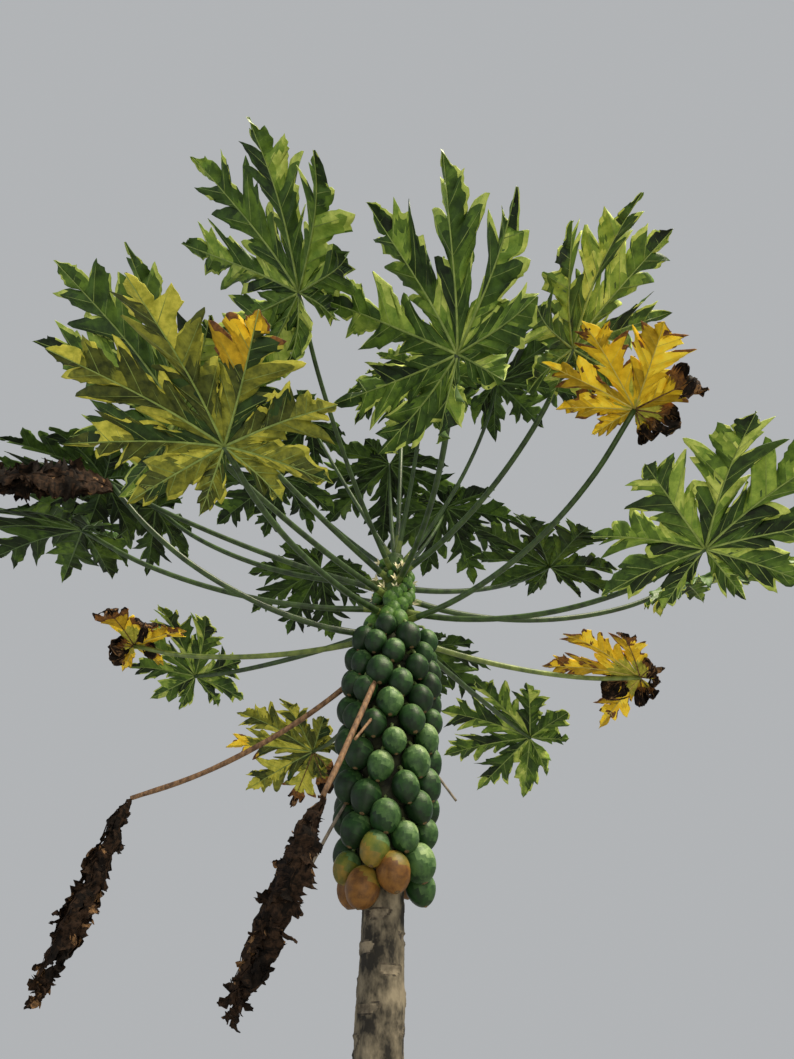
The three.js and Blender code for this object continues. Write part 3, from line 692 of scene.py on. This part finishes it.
def tissue(spec, i, here, mid, rib_at, half_seed, dry_from, gold_from):
    """Finishes of the upper and lower face of half of lobe i, in patches of painted light and shade. Each
    point of the lobe gets its own painted light or shade, by the draw that lifts it."""
    coat, size = COATS[spec["colour"]], spec["size"]
    point = sum((rib_at > begins).astype(int) for begins in NEXT_POINTS)
    own = np.array([jitter(half_seed * 1.3, k + 11) for k in range(4)])[point]
    patch = (unevenness(here, PATCH_SPACING * size, i) * PATCH_CONTRAST
             + unevenness(here, FLECK_SPACING * size, i + 40) * FLECK_CONTRAST)
    tone = POINT_CONTRAST * own + patch
    low = shades_of(tone, coat["lower"])
    high = np.full(low.shape, coat["upper"], dtype=object)
    edge = np.zeros(low.shape, bool)
    # A painted backlit rim along parts of the outline; on yellow leaves the rim is scorched instead
    edge[3:, -1] = [jitter(half_seed * 1.7, k // 4) < coat["share"] for k in range(len(low) - 3)]
    low[edge] = coat["rim"]
    if spec["colour"] == "yellow":
        high[edge] = "burnt"
        low[(unevenness(here, SPOT_SPACING, i + 70) > 0.5) & (mid > SPOTS_FROM)] = "burnt"
        low[(mid < GREEN_FOOT + 0.15 * patch) & (unevenness(here, GREEN_SPACING, i) > -0.2)] = "olive_3"
    gold = shades_of(tone, COATS["yellow"]["lower"])
    gold[edge] = "burnt"
    low = np.where(mid > gold_from + 0.12 * patch, gold, low)
    dry = shades_of(unevenness(here, DRIED_SPACING, i + 7) * 1.2, DRIED_LOBE)
    scorched = mid > dry_from - SCORCH_BAND
    low = np.where(mid > dry_from, dry, np.where(scorched, "burnt", low))
    high = np.where(mid > dry_from, dry, np.where(scorched, "burnt", high))
    return high.ravel(), low.ravel()


def rib_and_veins(part, line, world, size, rib, up, side, share, dry_from):
    """The rib of a lobe and the veins of one half of it, which stand out of both faces. Ribs are thinner
    in shorter lobes, by share."""
    if side > 0:
        keep = np.linspace(0, len(line) - 1, RIB_STEPS).astype(int)
        radius = size * mix(RIB_RADIUS, RIB_TIP_RADIUS, line[keep, 2] ** 0.8) * (0.7 + 0.3 * share)
        tube(part, world[keep, 0], radius, RIB_SIDES, rib if dry_from > 1 else "dry_tan", reference=up)
    for at in VEINS:
        col = int(np.argmin(np.abs(line[:, 2] - at)))
        thick = VEIN_RADIUS * size * (1 if at in POINT_VEINS else SIDE_VEIN_SHARE)
        taper = np.linspace(thick, thick * VEIN_TAPER, BLADE_ROWS)
        finish = rib if at < dry_from - 0.2 else "dry_brown"
        tube(part, world[col, :-1], taper, VEIN_SIDES, finish, reference=up)


def blade(part, spec, centre, seed):
    """One blade: a thin closed sheet, folded up along each lobe's rib, blistered between its veins."""
    ahead, aside, up = blade_axes(spec)
    size, lobes, rib = spec["size"], lobes_of(spec, seed), COATS[spec["colour"]]["rib"]
    curled, golden = [table.get(spec["name"], {}) for table in (CURLED, GOLDEN)]
    grids, faces, upper_finish, lower_finish = [], [], [], []
    count = 0

    def to_world(x, y, h):
        return centre + x[..., None] * ahead + y[..., None] * aside + h[..., None] * up

    for i, lobe in enumerate(lobes):
        reach, c, s = lobe["reach"], math.cos(lobe["angle"]), math.sin(lobe["angle"])
        dry_from = curled.get(i, NEVER)
        for side in (-1, 1):
            half_seed = seed * 31 + i * 2.7 + side
            line = half_outline(LOBE_SIDES[lobe["k"]], notch_beside(lobes, i, side, size), half_seed)
            along, out, h = half_lobe(line, reach, size, side, half_seed, seed * 7 + i)
            mid = (along[:-1, :-1] + along[1:, 1:]) / (2 * reach)
            rib_at = (line[:-1, 2] + line[1:, 2])[:, None] / 2 * np.ones(BLADE_ROWS)
            if dry_from < 1:
                along, out, h = curl_under(along, out, h, dry_from * reach, reach, size, seed + i)
            x, y = along * c - side * out * s, along * s + side * out * c
            grid = np.stack([x, y, h], -1)
            quads = grid_faces(*x.shape)
            faces.append((quads if side < 0 else quads[:, ::-1]) + count)
            grids.append(grid.reshape(-1, 3))
            count += x.size
            here = grid[:-1, :-1] + (seed * 91, 0, 0)
            gold_from = golden.get(i, (NEVER, NEVER))[side > 0]
            high, low = tissue(spec, i, here, mid, rib_at, half_seed, dry_from, gold_from)
            upper_finish.extend(high)
            lower_finish.extend(low)
            world, share = to_world(x, y, h), LOBE_REACHES[lobe["k"]]
            rib_and_veins(part, line, world, size, rib, up, side, share, dry_from)
    grids, faces = np.vstack(grids), np.vstack(faces)
    # Neighbouring halves meet along their shared rib and notch lines. Corners there that lie within
    # a hundredth of a millimetre are joined.
    key = np.round(grids * 100).astype(np.int64)
    _, first, joined = np.unique(key, axis=0, return_index=True, return_inverse=True)
    x, y, h = grids[first].T
    faces, n = joined.ravel()[faces], len(first)
    edges = np.stack([faces, np.roll(faces, -1, axis=1)], -1).reshape(-1, 2)
    real = edges[:, 0] != edges[:, 1]
    edges, owner = edges[real], np.repeat(np.arange(len(faces)), 4)[real]
    _, where, times = np.unique(np.sort(edges, axis=1), axis=0, return_index=True, return_counts=True)
    rim = edges[where[times == 1]]
    rim_finish = [lower_finish[f] for f in owner[where[times == 1]]]
    half = BLADE_THICKNESS / 2
    part.put(np.vstack([to_world(x, y, h + half), to_world(x, y, h - half)]), faces, upper_finish)
    start = part.count - 2 * n
    part.face(faces[:, ::-1] + start + n, lower_finish)
    strip = np.column_stack([rim[:, 1], rim[:, 0], rim[:, 0] + n, rim[:, 1] + n])
    part.face(strip + start, rim_finish, flat=True)


# The yellow leaf in front still has a dark stalk, where the others have paled with their blades
DARK_STALKS = {"right_front_yellow": "stalk_green"}
# Lines of the leaf stalks with their thickness, so that fruits keep clear of them
limb_lines = []
for index, spec in enumerate(LEAVES):
    coat = COATS[spec["colour"]]
    path = stalk_path(spec)
    scale = YOUNG_SCALE if spec["z"] > YOUNG_FROM else 1
    centre = path[-1] + blade_axes(spec)[2] * BLADE_LIFT
    part = Part()
    line = smooth_path(np.vstack([path[:-1], centre]), STALK_FINE)
    s = np.linspace(0, 1, len(line))
    swollen = stalk_radius(s, scale) * (1 + STALK_COLLAR * np.exp(-s / STALK_COLLAR_SPREAD))
    colour = DARK_STALKS.get(spec["name"], coat["stalk"])
    rings = ["stalk_pale"] * 2 + [colour] * (len(line) - 3)
    tube(part, line, swollen, STALK_SIDES, np.repeat(rings, STALK_SIDES).tolist())
    blade(part, spec, centre, index + 1)
    node = "leaf_" + spec["name"]
    part.make(node + "_dressed", coat["slot"], node)
    limb_lines.append((line, stalk_radius(s, scale)))


# Dead leaves and bare dead stalks. A blade is given by how far it hangs along x, y and z, and its width.
DEAD = records("name z bearing rise length end_rise end_bearing scale finish blade", [
    ("dead_leaf_left", 2870, 178, -49, 915, -14, 173, 0.95, "stalk_tan", (-170, 20, -560, 62)),
    ("dead_leaf_front", 2890, -110, -58, 690, -61, -127, 0.95, "stalk_tan", (-210, 115, -520, 76)),
    ("dead_leaf_left_high", 2905, -160, -6, 1045, 47, -156, 1.05, "stalk_green", (-400, -90, -50, 92)),
    ("dead_stalk_front", 2690, -108, -42, 325, -43, -113, 0.5, "stalk_tan", None),
    ("dead_stalk_left", 2530, -158, -57, 460, -66, -160, 0.55, "stalk_grey", None),
    ("dead_stalk_right", 2610, 13, -50, 275, -53, 12, 0.5, "stalk_grey", None),
])
DRIED_SHEET = ["dry_dark", "dry_dark", "dry_brown", "dry_brown", "dry_tan"]


def dry_sheet(part, points, inward, seed):
    """A crumpled scrap of dried leaf, closed at neither edge but with two faces."""
    for spacing, depth in CRUMPLES:
        points = points + bumps(points, spacing, seed) * depth
    middle = (points[:-1, :-1] + points[1:, 1:]) / 2
    tone = unevenness(middle, 40, seed + 4) * 0.8 + unevenness(middle, 12, seed + 6) * 0.5
    finishes = shades_of(tone, DRIED_SHEET).ravel()
    faces = grid_faces(*points.shape[:2])
    part.put(points, faces, finishes)
    part.put(points + inward * HANG_THICKNESS, faces[:, ::-1], finishes)
    return points


def dried_strip(part, start, reach, width, across, up, seed, strip):
    """One dried lobe of a shrivelled blade: a strip rolled up lengthwise, torn at its edge, with a rib."""
    def draw(n):
        return jitter(seed + n, strip)

    a = np.linspace(-1, 1, STRIP_COLUMNS)
    begin = 0 if strip < 3 else 0.2 * (1 + draw(2))
    extent = 1 if strip == 0 else min(0.97, begin + 0.42 + 0.24 * (1 + draw(3)))
    t = np.linspace(begin, extent, STRIP_ROWS)
    local = np.linspace(0, 1, STRIP_ROWS)
    turn = 2 * math.pi * (strip * 0.382 + 0.1 * draw(0))
    aim = across * math.cos(turn) + up * math.sin(turn) * 0.6
    bow = np.sin(math.pi * np.clip(t, 0, 0.9)) ** 0.8
    bulge = bow * width * (STRIP_BOW + 0.14 * draw(5))
    centre = start + np.outer(t, reach) + np.outer(bulge, aim)
    ends = np.sin(math.pi * np.clip(local, 0.02, 0.97)) ** 0.6
    half = width * (STRIP_HALF + 0.16 * draw(6)) * ends + 2
    steps = range(STRIP_ROWS)
    torn = np.array([[jitter(seed + k * 1.7, strip * 2 + (r > 0)) for r in a] for k in steps])
    slow = np.array([jitter(seed + k // 6 * 2.3, strip * 3 + 1) for k in steps])[:, None]
    curl = STRIP_CURL + 0.7 * draw(9)
    roll = turn + 1.6 * local[:, None] * draw(11)
    roll = roll + a * curl * (1 + 0.3 * slow * np.abs(a))
    radius = (half / curl)[:, None] * (0.8 + (0.5 + 0.3 * torn + 0.3 * slow) * np.abs(a) ** 2)
    side = across * np.cos(roll)[..., None] + up * np.sin(roll)[..., None] * 0.8
    points = centre[:, None] + side * radius[..., None]
    points = dry_sheet(part, points, unit(centre[:, None] - points), seed)
    rib = points[::3, STRIP_COLUMNS // 2]
    tube(part, rib, np.linspace(2.6, 0.8, len(rib)), 5, "dry_brown", reference=up)


def torn_scrap(part, start, reach, width, across, up, seed, scrap):
    """One torn scrap that stands off a shrivelled blade, and droops."""
    def draw(n):
        return jitter(seed + n, scrap)

    way = unit(reach)
    v, b = np.linspace(0, 1, SCRAP_ROWS), np.linspace(-1, 1, SCRAP_COLUMNS)
    t = 0.06 + 0.9 * (scrap + 0.5 + 0.5 * draw(12)) / SCRAPS
    turn = math.radians(TURN * scrap)
    aim = across * math.cos(turn) + up * math.sin(turn) * 0.7
    bow = math.sin(math.pi * min(t, 0.88)) ** 0.7
    root = start + reach * t + aim * width * bow * (SCRAP_OUT + 0.14 * draw(13))
    length = width * (SCRAP_LENGTH + 0.24 * draw(14)) * (0.5 + 0.6 * bow)
    down = unit(way + aim * (0.95 + 0.6 * draw(15)) + np.cross(way, aim) * draw(16))
    flat = unit(np.cross(down, aim + way * 0.2) + aim * 0.7 * draw(17))
    lift = np.cross(down, flat)
    spine = root + np.outer(v * length, down) + np.outer(length * 0.3 * np.sin(v * 2.6), lift)
    torn = np.array([[jitter(scrap * 3.1 + k, 5 + (r > 0)) for r in b] for k in range(SCRAP_ROWS)])
    half = length * (SCRAP_HALF + 0.12 * draw(18)) * np.sin(math.pi * (0.12 + 0.8 * v)) ** 0.7
    sheet = spine[:, None] + flat * (half[:, None] * b * (1 + 0.45 * torn * np.abs(b)))[..., None]
    sheet = sheet + lift * (half[:, None] * 0.7 * b ** 2)[..., None]
    dry_sheet(part, sheet, lift, seed)


def hanging_blade(part, start, reach, width, seed):
    """A shrivelled blade: its dried lobes hang together as curled strips, fringed with torn scraps."""
    way = unit(reach)
    across = unit(np.array([-way[1] - way[2], way[0], way[0]]))
    up = np.cross(way, across)
    for strip in range(STRIPS):
        dried_strip(part, start, reach, width, across, up, seed, strip)
    for scrap in range(SCRAPS):
        torn_scrap(part, start, reach, width, across, up, seed, scrap)


for index, spec in enumerate(DEAD):
    path = stalk_path(spec)
    part = Part()
    fine = smooth_path(path, STALK_FINE)
    s = np.linspace(0, 1, len(fine))
    fine = fine + bumps(fine, 120, 2) * 2.5 * s[:, None]
    withered = 1 + 0.12 * unevenness(fine, 45, 5)
    tube(part, fine, stalk_radius(s, spec["scale"]) * withered, DEAD_STALK_SIDES, spec["finish"])
    node = spec["name"] + "_stalk" if spec["blade"] else spec["name"]
    part.make(spec["name"] + "_stalk_dressed", "dead_stalk", node)
    if spec["blade"]:
        part = Part()
        *reach, width = spec["blade"]
        hanging_blade(part, path[-1], np.array(reach, float), width, 20 * (index + 1))
        part.make(spec["name"] + "_blade_dressed", "dead_leaf", spec["name"] + "_blade")


# Trunk
def make_trunk():
    """The bark: fine cracks, and a wide shallow scar where each old leaf stood."""
    part = Part()
    z = STEM_HEIGHT * np.linspace(0, 1, STEM_RINGS)
    turn = np.linspace(0, 2 * math.pi, STEM_SIDES, endpoint=False)
    zz, aa = np.meshgrid(z, turn, indexing="ij")
    radius = stem_radius(zz)
    flare = FLARE_RADIUS * np.exp(-zz / FLARE_HEIGHT) * (1 + FLARE_ROOT_DEPTH * np.cos(FLARE_ROOTS * aa))
    skin = np.stack([radius * np.cos(aa), radius * np.sin(aa), zz * 0.4], -1)
    relief = sum(high * unevenness(skin, spacing, draw) for spacing, draw, high in BARK_RELIEF)
    relief = relief + 0.8 * unevenness(skin * (1, 1, 3), 6, 6)
    streaks = np.stack([skin[..., 0], skin[..., 1], zz * 0.12], -1)
    relief = relief - CRACK_DEPTH * np.clip(unevenness(streaks, CRACK_SPACING, 8) - 0.3, 0, 1)
    # How far each point lies from the middle of its nearest scar: 1 is the scar's edge
    near = np.full(zz.shape, NEVER)
    for k in range(int((STEM_HEIGHT - SCAR_FIRST) / SCAR_STEP)):
        at = SCAR_FIRST + SCAR_STEP * k + SCAR_RISE_SPREAD * jitter(k, 9)
        grown = float(stem_radius(at)) / 75
        bearing = math.radians(TURN * k + SCAR_TURN_SPREAD * jitter(k, 2))
        off = (aa - bearing + math.pi) % (2 * math.pi) - math.pi
        across = off * radius / (SCAR_HALF_WIDTH * (0.6 + 0.4 * grown) * (1 + 0.15 * jitter(k, 6)))
        height = (zz - at) / (SCAR_HALF_HEIGHT * (1 + 0.2 * jitter(k, 4)))
        near = np.minimum(near, np.abs(across) ** 2.2 + (height + 0.55 * (1 - np.abs(across) ** 2)) ** 2)
    blurred = np.sqrt(near) + 0.16 * unevenness(skin, 12, 11)
    rim = np.exp(-((blurred - 1) / 0.2) ** 2)
    relief = relief + SCAR_RIM * rim - SCAR_DEPTH * np.clip(1 - near, 0, 1) ** 0.5
    relief = relief * np.clip((STEM_HEIGHT - zz) / BARK_FADE, 0, 1)
    r = radius + flare + relief - BARK_INSET
    rings = np.stack([STEM_LEAN * zz + r * np.cos(aa), r * np.sin(aa), zz], -1)
    at_face, high = blurred[:-1], zz[:-1]
    tone = unevenness(skin[:-1], 30, 14)
    finishes = np.where((at_face < 0.8) & (tone > -0.45), "scar",
                        np.where((at_face > 0.85) & (at_face < 1.05) & (tone < 0.35), "scar_rim", "bark"))
    finishes = np.where(high > GREEN_BARK_FROM, "young_bark", finishes)
    tip = (STEM_LEAN * STEM_HEIGHT, 0, STEM_HEIGHT + DOME_HEIGHT * 0.9)
    closed_grid(part, rings, (0, 0, 0), tip, finishes.ravel(), "bark", "young_bark")
    part.make("trunk_bark", "bark", "trunk")


make_trunk()


# Fruit and flowers
def one_fruit(part, centre, radius, half, bearing, shades, seed):
    """One papaya: five faint ridges, full shoulders, a blunt point with the dried blossom end.
    It hangs from a short stem, and leans outwards at its foot."""
    level = np.sin(np.linspace(-math.pi / 2, math.pi / 2, FRUIT_LEVELS))
    turn = np.linspace(0, 2 * math.pi, FRUIT_SIDES, endpoint=False)
    pointed = FRUIT_POINT + 0.25 * jitter(seed, 1)
    power = np.where(level < 0, pointed, FRUIT_SHOULDER + 0.3 * jitter(seed, 4))
    width = (1 - np.abs(level) ** power) ** FRUIT_ROUNDNESS
    width[0], width[-1] = FRUIT_ENDS
    ridge = 1 + FRUIT_RIDGE * np.cos(FRUIT_RIDGES * turn + seed) * (1 - 0.9 * level[:, None])
    uneven = 1 + 0.03 * jitter(seed, 8) * np.cos(turn - seed * 2)[None, :]
    r = radius * width[:, None] * ridge * uneven
    height = np.repeat(level[:, None] * half, FRUIT_SIDES, 1)
    local = np.stack([r * np.cos(turn), r * np.sin(turn), height], -1)
    local[0, :, 2] -= 1.5
    tilt = math.radians(FRUIT_TILT + FRUIT_TILT_SPREAD * jitter(seed, 2))
    sway = math.radians(FRUIT_SWAY * jitter(seed, 6))
    out = heading(bearing, 0)
    side = np.array([-out[1], out[0], 0])
    axis = unit(np.array([0, 0, 1.0]) * math.cos(tilt) - out * math.sin(tilt) + side * math.sin(sway))
    side = unit(side - axis * (side @ axis))
    outward = np.cross(side, axis)
    rings = centre + local[..., 0:1] * outward + local[..., 1:2] * side + local[..., 2:3] * axis
    # Painted light and shade: paler towards the painted sun, darker away from it
    sunny = unit(rings[:-1] - centre) @ PAINTED_SUN_SIDE
    tone = 0.85 * sunny - 0.2 + 0.14 * unevenness(rings[:-1], radius * 1.2, seed)
    finishes = shades_of(tone, shades)
    finishes[0] = "fruit_end"
    closed_grid(part, rings, centre - axis * (half + 1.5), centre + axis * (half - 1), finishes.ravel(),
                "fruit_end", "fruit_stem")
    top = centre + axis * (half - 2)
    foot = np.array([STEM_LEAN * top[2], 0, top[2] + 14]) + out * float(stem_radius(top[2])) * 0.8
    bend = top + axis * min(16, radius * 0.5)
    tube(part, smooth_path(np.array([foot, (foot + bend) / 2 + (0, 0, 5), bend, top]), 2),
         min(5.5, radius * 0.2), 6, "fruit_stem", reference=side)


def touches(centre, radius, half, room):
    """Whether a fruit there would lie on a leaf stalk."""
    for line, thick in limb_lines:
        gap = (line - centre) / np.column_stack([radius + thick, radius + thick, half + thick])
        if np.min(np.linalg.norm(gap, axis=1)) < room:
            return True
    return False


def on_spiral(k, z, out):
    bearing = FRUIT_FIRST_BEARING + TURN * k + FRUIT_TURN_SPREAD * jitter(k, 5)
    centre = heading(bearing, 0) * out
    return centre + (STEM_LEAN * z, 0, z), bearing


def fruit_height(k):
    share = k / FRUIT_COUNT
    return FRUIT_LOW + FRUIT_SPAN * share * (1 + FRUIT_CROWDING * (1 - share))


# Painted sunlight: the sun reaches in under the crown from this side, and some fruits there are painted paler
SUNLIT_SIDE = (0.45, -0.89, 0)
# The lowest fruits ripen first, but not in order
RIPE_ONES = [0, 2, 3, 4]
TURNING_ONES = [5, 8]
# So many of the lowest fruits are painted lighter with sunlight, apart from those on the left
LIT_LOW_ONES = 18
# Finishes of each kind of fruit, from its side in painted shade to its side in painted sunlight
RIPE = ["fruit_ripe", "fruit_ripe", "fruit_ripe", "fruit_amber", "fruit_turning"]
TURNING = ["fruit_amber", "fruit_amber", "fruit_turning", "fruit_turning", "fruit_4", "fruit_4"]
SUNLIT_GREEN, LIT_LOW_GREEN, GREEN, DARK_GREEN = [
    [f"fruit_{n}" for n in steps] for steps in ("233455", "223345", "1122345", "111234")]
YOUNG_GREEN = ["fruit_3", "fruit_young", "fruit_young", "fruit_4"]
for tier, start in enumerate(TIER_STARTS):
    part = Part()
    end = TIER_STARTS[tier + 1] if tier + 1 < len(TIER_STARTS) else FRUIT_COUNT
    # The bark that bears the fruits, knobbly, closes the gaps between them; its dark colour is painted shade
    levels = np.linspace(fruit_height(start), fruit_height(end), CORE_RINGS)
    knobs = [CORE_RADIUS + CORE_SPREAD * jitter(tier, n) for n in range(CORE_RINGS)]
    line = np.column_stack([STEM_LEAN * levels, 0 * levels, levels])
    if tier:
        tube(part, line, knobs, CORE_SIDES, "fruit_core_shade", reference=(0, 1, 0))
    for k in range(start, end):
        share = k / FRUIT_COUNT
        z = fruit_height(k) + FRUIT_RISE_SPREAD * jitter(k, 9)
        out = mix(FRUIT_OUT_LOW, FRUIT_OUT_HIGH, share) + FRUIT_OUT_SWELL * math.sin(math.pi * share)
        radius = mix(FRUIT_RADIUS_LOW, FRUIT_RADIUS_HIGH, share) * (1 + FRUIT_SIZE_SPREAD * jitter(k, 3))
        centre, bearing = on_spiral(k, z, out + FRUIT_OUT_SPREAD * jitter(k, 7))
        radius = radius * FRUIT_FULLNESS * (1 + FRUIT_VARIETY * jitter(k, 41))
        half = radius * (FRUIT_LENGTHS + FRUIT_STRETCH * (1 + jitter(k, 42)))
        if touches(centre, radius, half, FRUIT_ROOM):
            continue
        shades = GREEN if jitter(k, 12) > -0.1 else DARK_GREEN
        if k in RIPE_ONES:
            shades = RIPE
        elif k in TURNING_ONES:
            shades = TURNING
        elif heading(bearing, 0) @ SUNLIT_SIDE > 0.75 and jitter(k, 14) > 0.3:
            shades = SUNLIT_GREEN
        elif k < LIT_LOW_ONES and heading(bearing, 0)[0] > -0.4:
            shades = LIT_LOW_GREEN
        one_fruit(part, centre, radius, half, bearing, shades, k)
    name = "fruit_ripe" if tier == 0 else f"fruit_tier_{tier}"
    part.make(name + "_dressed", "fruit_ripe" if tier == 0 else "fruit_green", name)

part = Part()
for k in range(YOUNG_COUNT):
    z = YOUNG_LOW + YOUNG_STEP * k
    radius = mix(YOUNG_RADIUS, YOUNG_RADIUS_TOP, k / YOUNG_COUNT) * (1 + 0.2 * jitter(k, 21))
    half = radius * YOUNG_LENGTHS
    centre, bearing = on_spiral(k, z, float(stem_radius(z)) + YOUNG_CORE * 0.6 + radius * YOUNG_OUT)
    if not touches(centre, radius, half, YOUNG_ROOM):
        one_fruit(part, centre, radius, half, bearing, YOUNG_GREEN, k)
part.make("fruit_young_dressed", "fruit_young", "fruit_young")


def one_flower(part, at, bearing, size, seed):
    """A papaya blossom: five thick petals, twisted, round a short throat."""
    axis = unit(heading(bearing, 0) + (0, 0, 0.5 + 0.4 * jitter(seed, 1)))
    side = unit(np.cross(axis, (0, 0, 1)))
    other = np.cross(axis, side)
    throat = np.array([at - axis * size * 0.9, at - axis * size * 0.3, at])
    tube(part, throat, size * 0.16, 6, "fruit_stem", reference=side)
    s = np.linspace(0, 1, 6)
    a = np.linspace(-1, 1, 3)
    for petal in range(PETALS):
        turn = 2 * math.pi * petal / PETALS + seed
        arm = side * math.cos(turn) + other * math.sin(turn)
        flank = np.cross(axis, arm)
        spine = at + np.outer(s * size, axis) + np.outer(size * (0.15 + 0.75 * s ** 2), arm)
        wide = size * 0.22 * np.sin(math.pi * np.clip(s * 0.8 + 0.15, 0, 1))
        sheet = spine[:, None] + wide[:, None, None] * a[:, None] * (flank + 0.4 * arm)
        faces = grid_faces(6, 3)
        part.put(sheet, faces, "petal")
        part.put(sheet + arm * 0.8, faces[:, ::-1], "petal")


part = Part()
for k in range(FLOWER_COUNT):
    z = FLOWER_LOW + FLOWER_STEP * k
    bearing = FLOWER_BEARING + FLOWER_SPREAD * jitter(k, 31) if k % 2 else TURN * k
    at = heading(bearing, 0) * (float(stem_radius(z)) + FLOWER_OUT) + (STEM_LEAN * z, 0, z)
    one_flower(part, at, bearing, FLOWER_SIZE, k)
part.make("papaya_blossom", "fruit_young")

# Floor, light and camera
FLOOR_HALF = 12
floor_mesh = bpy.data.meshes.new("studio_floor")
corners = [(x * FLOOR_HALF, y * FLOOR_HALF, 0) for x, y in ((-1, -1), (1, -1), (1, 1), (-1, 1))]
floor_mesh.from_pydata(corners, [], [(0, 1, 2, 3)])
floor = set_out("studio_floor", floor_mesh)
floor_mesh.materials.append(FINISH["floor"])


def soft_light(name, at, towards, width, height, watts, colour):
    lamp = bpy.data.lights.new(name, "AREA")
    lamp.shape = "RECTANGLE"
    lamp.size, lamp.size_y, lamp.energy = width, height, watts
    lamp.color = linear(colour)[:3]
    stand = set_out(name, lamp)
    stand.location = at
    stand.rotation_euler = (Vector(towards) - Vector(at)).to_track_quat("-Z", "Y").to_euler()


CROWN = (0.1, 0, 3.2)
soft_light("key_light", (3.0, -1.9, 8.4), CROWN, 2.4, 2.4, 1050, "#fff3dc")
soft_light("front_light", (1.2, -6.5, 1.2), CROWN, 5, 4, 150, "#fffaf0")
soft_light("side_light", (-6.5, -2.5, 2.0), CROWN, 4, 4, 70, "#f4f6ff")

world = bpy.data.worlds.new("studio_air")
world.use_nodes = True
air = world.node_tree.nodes["Background"].inputs
air["Color"].default_value = linear("#e6e9ec")
air["Strength"].default_value = 0.56
bpy.context.scene.world = world
bpy.context.scene.view_settings.view_transform = "Standard"

# The photograph's camera: 2.5 m in front of the trunk, 1.6 m up, looking 35 degrees upwards
SENSOR = 36
FOCAL_SHARE = 831 / 1059
EYE_AT = (0.096, -2.5, 1.6)
EYE_RISE = 35
camera = bpy.data.cameras.new("photo_camera")
camera.sensor_width = SENSOR
camera.lens = SENSOR * FOCAL_SHARE
eye = set_out("photo_camera", camera)
eye.location = EYE_AT
eye.rotation_euler = (math.radians(90 + EYE_RISE), 0, 0)
bpy.context.scene.camera = eye
